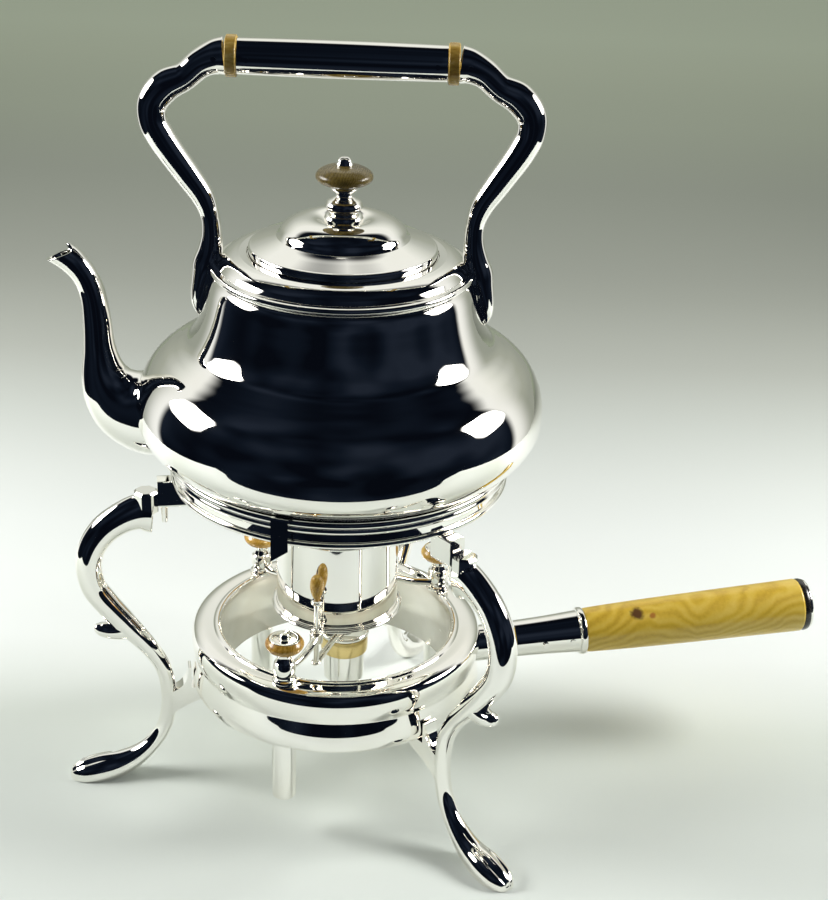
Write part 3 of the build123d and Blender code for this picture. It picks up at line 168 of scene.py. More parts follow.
def grain_group():
    """Faint growth rings in a cloudy tone, with fine pores: a tone, and the pores alone."""
    group, inside, outside = new_group(
        "wood_grain",
        [
            ("Vector", "NodeSocketVector", None),
            ("Cloud Scale", "NodeSocketFloat", 50.0),
            ("Ring Scale", "NodeSocketFloat", 300.0),
            ("Pore Scale", "NodeSocketFloat", 2000.0),
            ("Bend", "NodeSocketFloat", 0.01),
            ("Stripes", "NodeSocketFloat", 0.2),
            ("Clouds", "NodeSocketFloat", 0.6),
        ],
        [("Tone", "NodeSocketFloat"), ("Pores", "NodeSocketFloat")],
    )
    link = group.links.new
    drift = noise(group, inside.outputs["Vector"], Detail=3.0)
    link(inside.outputs["Cloud Scale"], drift.inputs["Scale"])
    bend = node(group, "ShaderNodeVectorMath", operation="SCALE")
    link(inside.outputs["Bend"], bend.inputs["Scale"])
    link(drift.outputs["Color"], bend.inputs[0])
    bent = node(group, "ShaderNodeVectorMath", operation="ADD")
    link(inside.outputs["Vector"], bent.inputs[0])
    link(bend.outputs[0], bent.inputs[1])
    rings = node(
        group, "ShaderNodeTexWave", wave_type="RINGS", rings_direction="X", Distortion=3.0, Detail=3.0
    )
    link(inside.outputs["Ring Scale"], rings.inputs["Scale"])
    link(bent.outputs[0], rings.inputs["Vector"])
    pores = noise(group, inside.outputs["Vector"], Detail=4.0, Roughness=0.65)
    link(inside.outputs["Pore Scale"], pores.inputs["Scale"])
    striped = maths(group, "MULTIPLY", rings.outputs["Fac"], inside.outputs["Stripes"])
    specks = maths(group, "MULTIPLY_ADD", pores.outputs["Fac"], 0.25, striped)
    mixed = maths(group, "MULTIPLY_ADD", drift.outputs["Fac"], inside.outputs["Clouds"], specks)
    link(mixed, outside.inputs["Tone"])
    link(pores.outputs["Fac"], outside.inputs["Pores"])
    return group


def blank_material(name):
    """A material with one Principled shader, and its node tree."""
    made = bpy.data.materials.new(name)
    made.use_nodes = True
    tree = made.node_tree
    tree.nodes.clear()
    shader = tree.nodes.new("ShaderNodeBsdfPrincipled")
    out = tree.nodes.new("ShaderNodeOutputMaterial")
    tree.links.new(shader.outputs[0], out.inputs[0])
    return made, tree, shader


def plate_material(name, bright, dull, gloss, haze, wave, metal=1.0):
    """Polished metal whose colour drifts between two tones."""
    made, tree, shader = blank_material(name)
    shader.inputs["Metallic"].default_value = metal
    effect = tree.nodes.new("ShaderNodeGroup")
    effect.node_tree = POLISH
    effect.inputs["Gloss"].default_value = gloss
    effect.inputs["Haze"].default_value = haze
    effect.inputs["Wave Height"].default_value = wave
    tone = ramp(tree, [(0.35, dull), (0.62, bright)])
    tree.links.new(effect.outputs["Tint"], tone.inputs[0])
    tree.links.new(tone.outputs[0], shader.inputs["Base Color"])
    tree.links.new(effect.outputs["Roughness"], shader.inputs["Roughness"])
    tree.links.new(effect.outputs["Normal"], shader.inputs["Normal"])
    return made


def wood_material(name, stops, turn, scale, rough, grain=0.3, knots=()):
    """Polished wood with its grain, and knots where asked."""
    made, tree, shader = blank_material(name)
    link = tree.links.new
    place = tree.nodes.new("ShaderNodeTexCoord")
    lie = node(tree, "ShaderNodeMapping")
    lie.inputs["Rotation"].default_value = turn
    link(place.outputs["Object"], lie.inputs["Vector"])
    effect = tree.nodes.new("ShaderNodeGroup")
    effect.node_tree = GRAIN
    effect.inputs["Cloud Scale"].default_value = scale * 0.35
    effect.inputs["Ring Scale"].default_value = scale * 2.0
    effect.inputs["Pore Scale"].default_value = scale * 14.0
    effect.inputs["Bend"].default_value = 1.6 / scale
    effect.inputs["Stripes"].default_value = grain
    effect.inputs["Clouds"].default_value = 0.75 - 0.6 * grain
    link(lie.outputs[0], effect.inputs["Vector"])
    tone = ramp(tree, stops)
    link(effect.outputs["Tone"], tone.inputs[0])
    colour = tone.outputs[0]
    for centre, radius, dark in knots:
        away = node(tree, "ShaderNodeVectorMath", operation="DISTANCE")
        away.inputs[1].default_value = centre
        wobble = node(tree, "ShaderNodeVectorMath", operation="ADD")
        link(place.outputs["Object"], wobble.inputs[0])
        shake = noise(tree, place.outputs["Object"], Scale=420.0, Detail=2.0)
        small = node(tree, "ShaderNodeVectorMath", operation="SCALE")
        small.inputs["Scale"].default_value = radius * 0.9
        link(shake.outputs["Color"], small.inputs[0])
        link(small.outputs[0], wobble.inputs[1])
        link(wobble.outputs[0], away.inputs[0])
        near = eased(tree, away.outputs["Value"], radius * 1.5, radius * 0.6)
        cover = node(tree, "ShaderNodeMix", data_type="RGBA")
        cover.inputs["B"].default_value = (*dark, 1.0)
        link(near, cover.inputs["Factor"])
        link(colour, cover.inputs["A"])
        colour = cover.outputs["Result"]
    link(colour, shader.inputs["Base Color"])
    gloss = node(tree, "ShaderNodeMapRange", To_Min=rough, To_Max=rough + 0.14)
    link(effect.outputs["Pores"], gloss.inputs["Value"])
    link(gloss.outputs[0], shader.inputs["Roughness"])
    bumped(tree, effect.outputs["Pores"], shader.inputs["Normal"], Strength=0.15, Distance=0.0003)
    shader.inputs["Coat Weight"].default_value = 0.35
    shader.inputs["Coat Roughness"].default_value = 0.12
    return made


def bone_material():
    """Polished bone: cream with fine lengthwise streaks."""
    made, tree, shader = blank_material("polished_bone")
    link = tree.links.new
    place = tree.nodes.new("ShaderNodeTexCoord")
    lie = node(tree, "ShaderNodeMapping")
    lie.inputs["Scale"].default_value = (0.3, 1.0, 1.0)
    link(place.outputs["Object"], lie.inputs["Vector"])
    streak = noise(tree, lie.outputs[0], Scale=420.0, Detail=5.0, Roughness=0.6)
    tone = ramp(tree, [(0.3, (0.36, 0.2, 0.03)), (0.5, (0.58, 0.38, 0.08)), (0.72, (0.76, 0.58, 0.2))])
    link(streak.outputs["Fac"], tone.inputs[0])
    link(tone.outputs[0], shader.inputs["Base Color"])
    bumped(tree, streak.outputs["Fac"], shader.inputs["Normal"], Strength=0.1, Distance=0.0002)
    rough = node(tree, "ShaderNodeMapRange", To_Min=0.18, To_Max=0.34)
    link(streak.outputs["Fac"], rough.inputs["Value"])
    link(rough.outputs[0], shader.inputs["Roughness"])
    return made


def wick_material():
    """Woven cotton: crossed threads, dark brown in the hollows between them."""
    made, tree, shader = blank_material("cotton_wick")
    link = tree.links.new
    place = tree.nodes.new("ShaderNodeTexCoord")
    bands = []
    for direction in ("X", "Y"):
        wave = node(tree, "ShaderNodeTexWave", bands_direction=direction, Scale=320.0, Distortion=1.2)
        link(place.outputs["Object"], wave.inputs["Vector"])
        bands.append(wave.outputs["Fac"])
    cross = maths(tree, "MULTIPLY", *bands)
    tone = ramp(tree, [(0.0, (0.16, 0.12, 0.08)), (0.5, (0.66, 0.6, 0.48))])
    link(cross, tone.inputs[0])
    link(tone.outputs[0], shader.inputs["Base Color"])
    bumped(tree, cross, shader.inputs["Normal"], Strength=0.6, Distance=0.0005)
    shader.inputs["Roughness"].default_value = 0.9
    return made


HANDLE_OUT = Vector((cos(radians(HANDLE_ANGLE)), sin(radians(HANDLE_ANGLE)), 0.0))
HANDLE_RISE = Vector((0, 0, sin(radians(HANDLE_TILT))))
HANDLE_DIR = (HANDLE_OUT * cos(radians(HANDLE_TILT)) + HANDLE_RISE).normalized()
HANDLE_SIDE = HANDLE_DIR.cross(Vector((0, 0, 1))).normalized()
HANDLE_UP = HANDLE_SIDE.cross(HANDLE_DIR)
HANDLE_START = AXIS + (HANDLE_OUT * HANDLE_ROOT[0] + Vector((0, 0, HANDLE_ROOT[1]))) * MM


def on_handle(along, side, up):
    """A point by the lamp's handle: along it, to its camera side, and above it."""
    return HANDLE_START + (HANDLE_DIR * along + HANDLE_SIDE * side + HANDLE_UP * up) * MM


POLISH = polish_group()
GRAIN = grain_group()
SILVER = plate_material(
    "silver_plate", bright=(0.98, 0.965, 0.925), dull=(0.955, 0.93, 0.865), gloss=0.02, haze=0.1, wave=0.04
)
DULL_PLATE = plate_material(
    "dulled_plate", bright=(0.9, 0.89, 0.82), dull=(0.74, 0.71, 0.6), gloss=0.22, haze=0.3, wave=0.1,
    metal=0.45,
)
BRASS = plate_material(
    "burner_brass", bright=(0.9, 0.72, 0.34), dull=(0.66, 0.47, 0.16), gloss=0.14, haze=0.25, wave=0.1
)
FRUITWOOD = wood_material(
    "turned_fruitwood",
    [(0.3, (0.03, 0.022, 0.004)), (0.5, (0.13, 0.092, 0.018)), (0.72, (0.3, 0.22, 0.055))],
    turn=(0.2, 1.2, 0.3), scale=150.0, rough=0.2, grain=0.12,
)
PALE_FRUITWOOD = wood_material(
    "pale_fruitwood",
    [(0.3, (0.26, 0.11, 0.01)), (0.5, (0.56, 0.32, 0.045)), (0.72, (0.76, 0.52, 0.12))],
    turn=(0.3, 1.1, 0.2), scale=120.0, rough=0.2, grain=0.12,
)
BOXWOOD = wood_material(
    "waxed_boxwood",
    [(0.25, (0.52, 0.3, 0.02)), (0.5, (0.74, 0.5, 0.05)), (0.8, (0.86, 0.64, 0.13))],
    turn=(0.0, 0.16, -radians(HANDLE_ANGLE + 5.0)), scale=44.0, rough=0.3, grain=0.22,
    knots=[
        (tuple(on_handle(89.5, 5.3, 11.2)), 0.003, (0.12, 0.05, 0.012)),
        (tuple(on_handle(96.2, 7.8, 9.6)), 0.0015, (0.5, 0.2, 0.03)),
    ],
)
EBONY = wood_material(
    "polished_ebony",
    [(0.2, (0.008, 0.008, 0.008)), (0.8, (0.03, 0.027, 0.024))],
    turn=(0.1, 0.4, 0.0), scale=160.0, rough=0.16,
)
BONE = bone_material()
WICK = wick_material()


# ------------------------------------------------------------------ forming
def smooth_run(points, steps):
    """Points along a centripetal curve through the given ones, of any number of coordinates."""
    given = np.array(points, float)
    if len(given) < 3:
        return given
    held = np.vstack([2 * given[0] - given[1], given, 2 * given[-1] - given[-2]])
    out = []
    for i in range(1, len(held) - 2):
        four = held[i - 1 : i + 3]
        t = np.cumsum([0.0] + [max(np.linalg.norm(four[k + 1] - four[k]), 1e-9) ** 0.5 for k in range(3)])
        for s in np.linspace(t[1], t[2], steps, endpoint=False):
            level = [four[k] for k in range(4)]
            for depth in (1, 2, 3):
                nxt = []
                for k in range(4 - depth):
                    lo, hi = t[k], t[k + depth]
                    if depth == 3:
                        lo, hi = t[1], t[2]
                    elif depth == 2:
                        lo, hi = t[k], t[k + 2]
                    nxt.append(level[k] * (hi - s) / (hi - lo) + level[k + 1] * (s - lo) / (hi - lo))
                level = nxt
            out.append(level[0])
    out.append(given[-1])
    return np.array(out)


EASING = (0, 0.2, 0.4, 0.6, 0.8, 1)  # shares of the way round an eased corner


def corners(*points):
    """Straight runs from each point to the next."""
    return [list(pair) for pair in zip(points, points[1:])]


def outline(runs, edge, steps):
    """One line from several runs that share their ends, with each corner eased by edge."""
    line = [np.array(p) for p in smooth_run(runs[0], steps)]
    for run in runs[1:]:
        nxt = [np.array(p) for p in smooth_run(run, steps)]
        corner = line[-1]
        before = line[-2]
        after = nxt[1]
        back = min(edge, 0.45 * np.linalg.norm(before - corner))
        on = min(edge, 0.45 * np.linalg.norm(after - corner))
        a = corner + (before - corner) * back / max(np.linalg.norm(before - corner), 1e-9)
        b = corner + (after - corner) * on / max(np.linalg.norm(after - corner), 1e-9)
        line[-1:] = [
            a * (1 - share) ** 2 + corner * 2 * share * (1 - share) + b * share * share for share in EASING
        ]
        line += nxt[1:]
    return np.array(line)


def piece(name, verts, faces, body, finish, stands_for=()):
    """A mesh piece that rides on a body, in a finish, in place of CAD nodes."""
    mesh = bpy.data.meshes.new(name)
    mesh.from_pydata([tuple(v) for v in verts], [], faces)
    mesh.update()
    mesh.shade_smooth()
    made = bpy.data.objects.new(name, mesh)
    bpy.context.scene.collection.objects.link(made)
    mesh.materials.append(finish)
    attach(made, body)
    if stands_for:
        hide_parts(*([stands_for] if isinstance(stands_for, str) else stands_for))
    return made


def upright(x=0.0, y=0.0):
    """The place of a turned piece whose axis is vertical, in mm from the kettle's axis."""
    return Matrix.Translation(AXIS + Vector((x, y, 0.0)) * MM)


def level_x(z):
    """The place of a turned piece whose axis is the bail grip's, along X."""
    return Matrix.Translation(AXIS + Vector((BAIL_LEAN, 0, z)) * MM) @ Matrix(
        ((0, 0, 1, 0), (0, 1, 0, 0), (-1, 0, 0, 0), (0, 0, 0, 1))
    )


def lamp_handle_place():
    """The place of a turned piece on the lamp's handle."""
    turn = Matrix((HANDLE_UP, HANDLE_SIDE, HANDLE_DIR)).transposed().to_4x4()
    return Matrix.Translation(HANDLE_START) @ turn


def turned_mesh(runs, place, around, edge, steps):
    """Vertices and faces of a surface turned about its own axis from (radius, height) runs."""
    line = outline(runs, edge, steps)
    verts, faces, rings = [], [], []
    for r, z in line:
        if abs(r) < 1e-6:
            rings.append([len(verts)])
            verts.append(place @ (Vector((0, 0, z)) * MM))
            continue
        rings.append(list(range(len(verts), len(verts) + around)))
        for k in range(around):
            t = 2 * pi * k / around
            verts.append(place @ (Vector((r * cos(t), r * sin(t), z)) * MM))
    for low, high in zip(rings, rings[1:]):
        for k in range(around):
            n = (k + 1) % around
            if len(low) == 1 and len(high) == 1:
                break
            if len(low) == 1:
                faces.append((low[0], high[k], high[n]))
            elif len(high) == 1:
                faces.append((low[k], low[n], high[0]))
            else:
                faces.append((low[k], low[n], high[n], high[k]))
    return verts, faces


def turned(name, runs, place, body, finish, stands_for=(), *, around, edge=0.25, steps=8):
    """A turned or spun piece whose runs go once round its section."""
    verts, faces = turned_mesh(runs, place, around, edge, steps)
    made = piece(name, verts, faces, body, finish, stands_for)
    weld_and_face_out(made)
    return made


def weld_and_face_out(made):
    """Joins coincident points and turns every face outward."""
    work = bmesh.new()
    work.from_mesh(made.data)
    bmesh.ops.remove_doubles(work, verts=work.verts, dist=WELD_DISTANCE)
    bmesh.ops.recalc_face_normals(work, faces=work.faces)
    work.to_mesh(made.data)
    work.free()


def ring_sections(sections, closed_ends=True):
    """Vertices and faces through rings of equal count, with rounded-over ends."""
    count = len(sections[0])
    verts = [v for ring in sections for v in ring]
    faces = []
    for i in range(len(sections) - 1):
        for k in range(count):
            n = (k + 1) % count
            faces.append((i * count + k, i * count + n, (i + 1) * count + n, (i + 1) * count + k))
    if closed_ends:
        for i in (0, len(sections) - 1):
            middle = sum((Vector(v) for v in sections[i]), Vector()) / count
            verts.append(middle)
            tip = len(verts) - 1
            for k in range(count):
                n = (k + 1) % count
                faces.append((tip, i * count + n, i * count + k))
    return verts, faces


def bar_sections(stations, angle=0.0, steps=8, around=40, shape=None):
    """Rings of a bar through (radius, height, thickness, width) stations in an upright plane."""
    line = smooth_run(stations, steps)
    turn = Matrix.Rotation(radians(angle), 4, "Z")
    rings = []
    for i, (x, z, high, wide) in enumerate(line):
        before, after = line[max(i - 1, 0)], line[min(i + 1, len(line) - 1)]
        along = Vector((after[0] - before[0], 0, after[1] - before[1])).normalized()
        across = Vector((0, 1, 0)).cross(along).normalized()
        ring = []
        for k in range(around):
            t = 2 * pi * k / around
            u, v = cos(t) * high / 2, sin(t) * wide / 2
            if shape:
                u, v = shape(i / (len(line) - 1), t, u, v)
            spot = Vector((x, 0, z)) + across * u + Vector((0, 1, 0)) * v
            ring.append(AXIS + (turn @ spot) * MM)
        rings.append(ring)
    return rings


def bar(name, stations, body, finish, stands_for=(), **how):
    """A cast or drawn bar in an upright plane."""
    verts, faces = ring_sections(bar_sections(stations, **how))
    made = piece(name, verts, faces, body, finish, stands_for)
    weld_and_face_out(made)
    return made


ROD_AROUND = 20


def rod(name, points, radii, body, finish):
    """A round rod through points in space, in mm from the kettle's axis."""
    line = smooth_run([(*p, r) for p, r in zip(points, radii)], steps=8)
    rings, side = [], None
    for i, row in enumerate(line):
        before, after = line[max(i - 1, 0)], line[min(i + 1, len(line) - 1)]
        along = Vector(after[:3] - before[:3]).normalized()
        if side is None:
            side = along.orthogonal().normalized()
        side = (side - along * side.dot(along)).normalized()
        other = along.cross(side)
        spot, r = Vector(row[:3]), row[3]
        turns = [2 * pi * k / ROD_AROUND for k in range(ROD_AROUND)]
        rings.append([AXIS + (spot + (side * cos(t) + other * sin(t)) * r) * MM for t in turns])
    verts, faces = ring_sections(rings)
    made = piece(name, verts, faces, body, finish)
    weld_and_face_out(made)
    return made


def polar(radius, angle, z=0.0):
    """A point from its radius and angle round the kettle's axis."""
    return (radius * cos(radians(angle)), radius * sin(radians(angle)), z)


# ------------------------------------------------------------------ finishes of the CAD pieces that stay
FINISH = {"silver": SILVER, "brass": BRASS, "turned_wood": FRUITWOOD, "boxwood": BOXWOOD,
          "ebony": EBONY, "bone": BONE, "wick": WICK}
for entry in frame["record"]["subparts"]:
    kept = frame["nodes"][entry["node"]]
    finish = FINISH[entry["material_slot"]]
    if not kept.material_slots:
        kept.data.materials.append(finish)
    for place in kept.material_slots:
        place.material = finish

# ------------------------------------------------------------------ kettle
SHEET = 1.5
BODY_SIDE = [
    (76.8, 176.1), (83.0, 179.7), (88.5, 184.5), (93.2, 192.0), (94.0, 199.5), (93.5, 204.8),
    (91.2, 211.7), (87.1, 218.4), (81.2, 223.6), (75.4, 227.1), (70.4, 230.5), (67.2, 235.2),
    (64.9, 240.5), (63.1, 246.5), (61.7, 252.5), (60.5, 257.5), (59.0, 261.3), (57.0, 263.6),
]


def sheet_inside(side):
    """The inner line of a wall of sheet whose outer line is given, through fewer points."""
    line = smooth_run(side, steps=6)
    inner = []
    for before, here, after in zip(line, line[1:], line[2:]):
        slope = Vector((after[1] - before[1], before[0] - after[0])).normalized()
        inner.append((here[0] - slope.x * SHEET, here[1] - slope.y * SHEET))
    foot, mouth = ((r - SHEET, z) for r, z in (side[0], side[-1]))
    return [foot] + inner[3:-3:3] + [mouth]


body_inside = sheet_inside(BODY_SIDE)
turned(
    "raised_body",
    [
        BODY_SIDE,
        [BODY_SIDE[-1], body_inside[-1]],
        body_inside[::-1],
        [body_inside[0], BODY_SIDE[0]],
    ],
    upright(), "kettle", SILVER, "kettle_body", around=192, edge=0.4, steps=10,
)

COLLAR_FOOT = BODY_SIDE[-1][1]
COLLAR_TOP = 272.6
turned(
    "moulded_collar",
    [
        *corners(
            (46.0, 269.6), (40.0, 269.6), (40.0, 271.0), (43.2, 271.0), (43.2, COLLAR_TOP),
            (46.6, COLLAR_TOP),
        ),
        [(46.6, COLLAR_TOP), (49.8, 271.9), (52.6, 270.6), (54.4, 269.0), (55.0, 268.2)],
        *corners((55.0, 268.2), (56.0, 266.8), (58.2, 266.7)),
        [(58.2, 266.7), (59.3, 266.3), (59.8, 265.2), (59.3, 264.1), (58.2, COLLAR_FOOT)],
        [(58.2, COLLAR_FOOT), (53.6, COLLAR_FOOT)],
        [(53.6, COLLAR_FOOT), (50.3, 268.2), (46.0, 269.6)],
    ],
    upright(), "kettle", SILVER, "collar", around=160, edge=0.25,
)

SPOUT_WALL = 1.3
SPOUT_AROUND = 56
SPOUT_STATIONS = [
    (-84.0, 192.6, 46.0, 37.0), (-90.0, 192.2, 45.0, 35.0), (-99.0, 194.8, 39.0, 30.0),
    (-105.9, 201.0, 30.0, 24.0), (-109.8, 209.5, 21.6, 19.5), (-111.4, 222.0, 15.0, 15.0),
    (-112.0, 236.0, 13.0, 13.0), (-113.4, 248.0, 11.8, 11.8), (-116.6, 256.6, 11.6, 11.2),
    (-121.8, 263.2, 12.0, 10.8), (-127.6, 267.4, 12.6, 10.4),
]
LIP = (-126.3, 266.6)  # middle of the spout's open end
LIP_TILT = 22.0
LIP_POINT = 4.4  # how far the back of the lip stands up to a point
LIP_POINT_SPREAD = 0.42
LIP_RINGS = 16


def drawn_to_lip(rings):
    """The last rings of the spout, drawn out along it to an end that lies aslant."""
    count = len(rings[-1])
    middles = [sum(ring, Vector()) / count for ring in (rings[-4], rings[-1])]
    along = (middles[1] - middles[0]).normalized()
    normal = Vector((-sin(radians(LIP_TILT)), 0, cos(radians(LIP_TILT))))
    origin = AXIS + Vector((LIP[0], 0, LIP[1])) * MM
    for k, spot in enumerate(list(rings[-1])):
        t = 2 * pi * k / count
        point = LIP_POINT * MM * exp(-((min(t, 2 * pi - t) / LIP_POINT_SPREAD) ** 2))
        reach = (origin - spot).dot(normal) / along.dot(normal) + point
        for share, ring in enumerate(rings[-LIP_RINGS:], 1):
            ring[k] = ring[k] + along * reach * (share / LIP_RINGS)
    return rings


def spout():
    """The hollow spout, cut off aslant at its lip."""
    walls = 2 * SPOUT_WALL
    thin = [(x, z, high - walls, wide - walls) for x, z, high, wide in SPOUT_STATIONS]
    outer, bore = (
        drawn_to_lip(bar_sections(line, steps=10, around=SPOUT_AROUND)) for line in (SPOUT_STATIONS, thin)
    )
    rings = outer + bore[::-1]
    verts, faces = ring_sections(rings, closed_ends=False)
    last = (len(rings) - 1) * SPOUT_AROUND
    for k in range(SPOUT_AROUND):
        n = (k + 1) % SPOUT_AROUND
        faces.append((last + k, last + n, n, k))
    weld_and_face_out(piece("curved_spout", verts, faces, "kettle", SILVER, "spout"))


spout()

GRIP_HALF = 45.2
INSULATOR_END = GRIP_HALF + 5.0
INSULATOR_R = 8.2
ARM_STATIONS = [
    (INSULATOR_END, GRIP_Z, 16.6, 16.6), (54.4, 357.6, 15.2, 15.0), (61.0, 354.6, 13.0, 13.0),
    (68.2, 348.6, 12.4, 12.2), (76.5, 344.2, 14.2, 12.6), (82.0, 337.0, 13.6, 12.4),
    (82.2, 329.0, 12.8, 12.2), (78.8, 321.6, 12.6, 12.0), (75.2, 315.8, 12.2, 11.8),
    (67.7, 304.8, 11.4, 11.2), (62.0, 296.0, 10.2, 10.2), (59.2, 288.0, 8.6, 9.6),
    (58.6, 280.1, 8.8, 9.8), (59.4, 271.0, 11.4, 11.4), (61.6, 264.0, 12.4, 12.6),
    (63.4, 258.0, 10.0, 11.6), (64.8, 252.0, 8.2, 10.0), (65.3, 246.5, 6.6, 8.0),
    (64.6, 242.0, 4.2, 5.2), (63.8, 239.4, 1.6, 2.0),
]
LEAN_FROM = 268.0
LEAN_RISE = 60.0


def leaning(stations, way):
    """One arm's stations on the side that way's sign gives, with the bail's lean."""
    out = []
    for x, z, high, wide in stations:
        share = min(max((z - LEAN_FROM) / LEAN_RISE, 0.0), 1.0)
        out.append((way * x + BAIL_LEAN * share, z, high, wide))
    return out


for way, label in ((1, "right"), (-1, "left")):
    bar(f"bail_arm_{label}", leaning(ARM_STATIONS, way), "kettle", SILVER, f"handle_arm_{label}")
    near, first, middle, last, far = (way * x for x in (GRIP_HALF, 45.6, 47.7, 49.8, INSULATOR_END))
    turned(
        f"insulating_ring_{label}",
        [
            [(INSULATOR_R, near), (9.0, first)],
            [(9.0, first), (9.09, middle), (9.0, last)],
            *corners((9.0, last), (INSULATOR_R, far), (0.0, far), (0.0, near), (INSULATOR_R, near)),
        ],
        level_x(GRIP_Z), "kettle", BONE, f"insulator_{label}", around=64,
    )
turned(
    "tube_grip",
    [
        [(5.8, -GRIP_HALF), (7.8, -GRIP_HALF)],
        [(7.8, -GRIP_HALF), (8.05, -24.0), (8.15, 0.0), (8.05, 24.0), (7.8, GRIP_HALF)],
        *corners((7.8, GRIP_HALF), (5.8, GRIP_HALF), (5.8, -GRIP_HALF)),
    ],
    level_x(GRIP_Z), "kettle", SILVER, "grip", around=80, steps=6,
)

# ------------------------------------------------------------------ lid
LID_LOW = 271.3
LID_TOP = LID_LOW + 17.6
turned(
    "two_tier_lid",
    [
        [(0.0, LID_TOP - 2.4), (9.4, LID_TOP - 2.4)],
        [(9.4, LID_TOP - 2.4), (13.0, LID_TOP - 0.4), (17.0, LID_TOP - 0.2), (23.0, LID_TOP - 1.8),
         (27.6, LID_TOP - 5.0), (29.0, LID_TOP - 7.4), (30.0, LID_TOP - 8.7)],
        [(30.0, LID_TOP - 8.7), (32.5, LID_LOW + 7.9), (35.6, LID_LOW + 6.8), (41.0, LID_LOW + 4.9)],
        [(41.0, LID_LOW + 4.9), (42.1, LID_LOW + 4.5), (42.6, LID_LOW + 3.4)],
        *corners(
            (42.6, LID_LOW + 3.4), (42.6, LID_LOW), (39.4, LID_LOW), (39.4, LID_LOW - 5.0),
            (38.2, LID_LOW - 5.0), (38.2, LID_LOW + 4.4),
        ),
        [(38.2, LID_LOW + 4.4), (34.4, LID_LOW + 5.6), (28.8, LID_LOW + 7.7)],
        [(28.8, LID_LOW + 7.7), (26.4, LID_TOP - 5.6), (21.8, LID_TOP - 3.0), (16.0, LID_TOP - 1.5),
         (12.0, LID_TOP - 1.7), (8.2, LID_TOP - 3.6)],
        [(8.2, LID_TOP - 3.6), (0.0, LID_TOP - 3.6)],
    ],
    upright(), "lid", SILVER, "lid", around=160, edge=0.3,
)
FINIAL_LOW = LID_TOP - 2.4
turned(
    "finial_moulding",
    [
        *corners((0.0, FINIAL_LOW), (8.9, FINIAL_LOW), (8.9, FINIAL_LOW + 2.2)),
        [(8.9, FINIAL_LOW + 2.2), (8.0, FINIAL_LOW + 3.5), (6.0, FINIAL_LOW + 4.2)],
        [(6.0, FINIAL_LOW + 4.2), (7.7, FINIAL_LOW + 5.4), (8.4, FINIAL_LOW + 7.4), (7.6, FINIAL_LOW + 9.4),
         (5.6, FINIAL_LOW + 10.6)],
        [(5.6, FINIAL_LOW + 10.6), (3.6, FINIAL_LOW + 12.2), (4.2, FINIAL_LOW + 14.0)],
        [(4.2, FINIAL_LOW + 14.0), (5.7, FINIAL_LOW + 14.6), (6.0, FINIAL_LOW + 15.4),
         (5.2, FINIAL_LOW + 16.4)],
        [(5.2, FINIAL_LOW + 16.4), (0.0, FINIAL_LOW + 16.4)],
    ],
    upright(), "lid", SILVER, "finial_base", around=72,
)
DISC_LOW = FINIAL_LOW + 16.4
BUTTON_LOW = DISC_LOW + 9.0
turned(
    "finial_wood",
    [
        [(0.0, DISC_LOW), (5.6, DISC_LOW)],
        [(5.6, DISC_LOW), (9.6, DISC_LOW + 1.1), (12.3, DISC_LOW + 2.8), (12.8, DISC_LOW + 4.3),
         (12.2, DISC_LOW + 6.0), (9.2, DISC_LOW + 8.0), (5.0, BUTTON_LOW)],
        [(5.0, BUTTON_LOW), (0.0, BUTTON_LOW)],
    ],
    upright(), "lid", FRUITWOOD, "finial_disc", around=96, steps=10,
)
turned(
    "finial_button_top",
    [
        *corners((0.0, BUTTON_LOW - 24.0), (1.58, BUTTON_LOW - 24.0), (1.58, BUTTON_LOW), (3.7, BUTTON_LOW)),
        [(3.7, BUTTON_LOW), (3.75, BUTTON_LOW + 0.9), (3.3, BUTTON_LOW + 1.8)],
        [(3.3, BUTTON_LOW + 1.8), (2.9, BUTTON_LOW + 3.0), (1.6, BUTTON_LOW + 4.0), (0.0, BUTTON_LOW + 4.2)],
    ],
    upright(), "lid", SILVER, "finial_button", around=48,
)

# ------------------------------------------------------------------ stand
RING_LOW = 163.3
RING_R = 77.4
RING_BORE = 72.0
turned(
    "moulded_ring",
    [
        [(RING_BORE, RING_LOW), (RING_R, RING_LOW)],
        [(RING_R, RING_LOW), (79.0, 163.6), (79.4, 164.6), (79.0, 165.6), (77.6, 166.0)],
        [(77.6, 166.0), (RING_R, 170.4)],
        [(RING_R, 170.4), (79.4, 170.6), (80.2, 171.9), (79.6, 173.2)],
        [(79.6, 173.2), (80.4, 174.4), (80.2, 175.6), (79.0, 176.4), (77.8, 176.0), (RING_R, 174.8)],
        *corners((RING_R, 174.8), (RING_BORE, 174.6), (RING_BORE, RING_LOW)),
    ],
    upright(), "stand", SILVER, "upper_ring", around=160, edge=0.3,
)
LEG_STATIONS = [
    (88.2, 146.0, 21.5, 11.0), (95.0, 146.4, 18.0, 11.8), (102.5, 143.8, 15.6, 12.2),
    (110.6, 138.2, 14.4, 12.6), (116.6, 129.6, 13.4, 13.0), (118.8, 119.5, 12.8, 13.0),
    (117.0, 108.0, 12.5, 12.5), (110.8, 97.5, 12.0, 12.0), (103.8, 88.0, 11.5, 11.0),
    (96.5, 78.8, 10.0, 10.0), (89.8, 69.5, 8.6, 9.0), (85.0, 59.5, 8.0, 8.5),
    (83.2, 48.0, 7.6, 8.0), (83.4, 36.5, 7.6, 8.0), (86.0, 26.0, 7.6, 8.2), (91.0, 18.0, 8.0, 9.0),
    (98.5, 11.0, 10.0, 11.0), (107.5, 6.0, 13.0, 13.5), (117.0, 3.6, 15.0, 16.0),
    (125.5, 1.6, 14.0, 14.5), (131.0, 0.4, 9.0, 9.0), (132.6, 0.2, 4.0, 4.0),
]
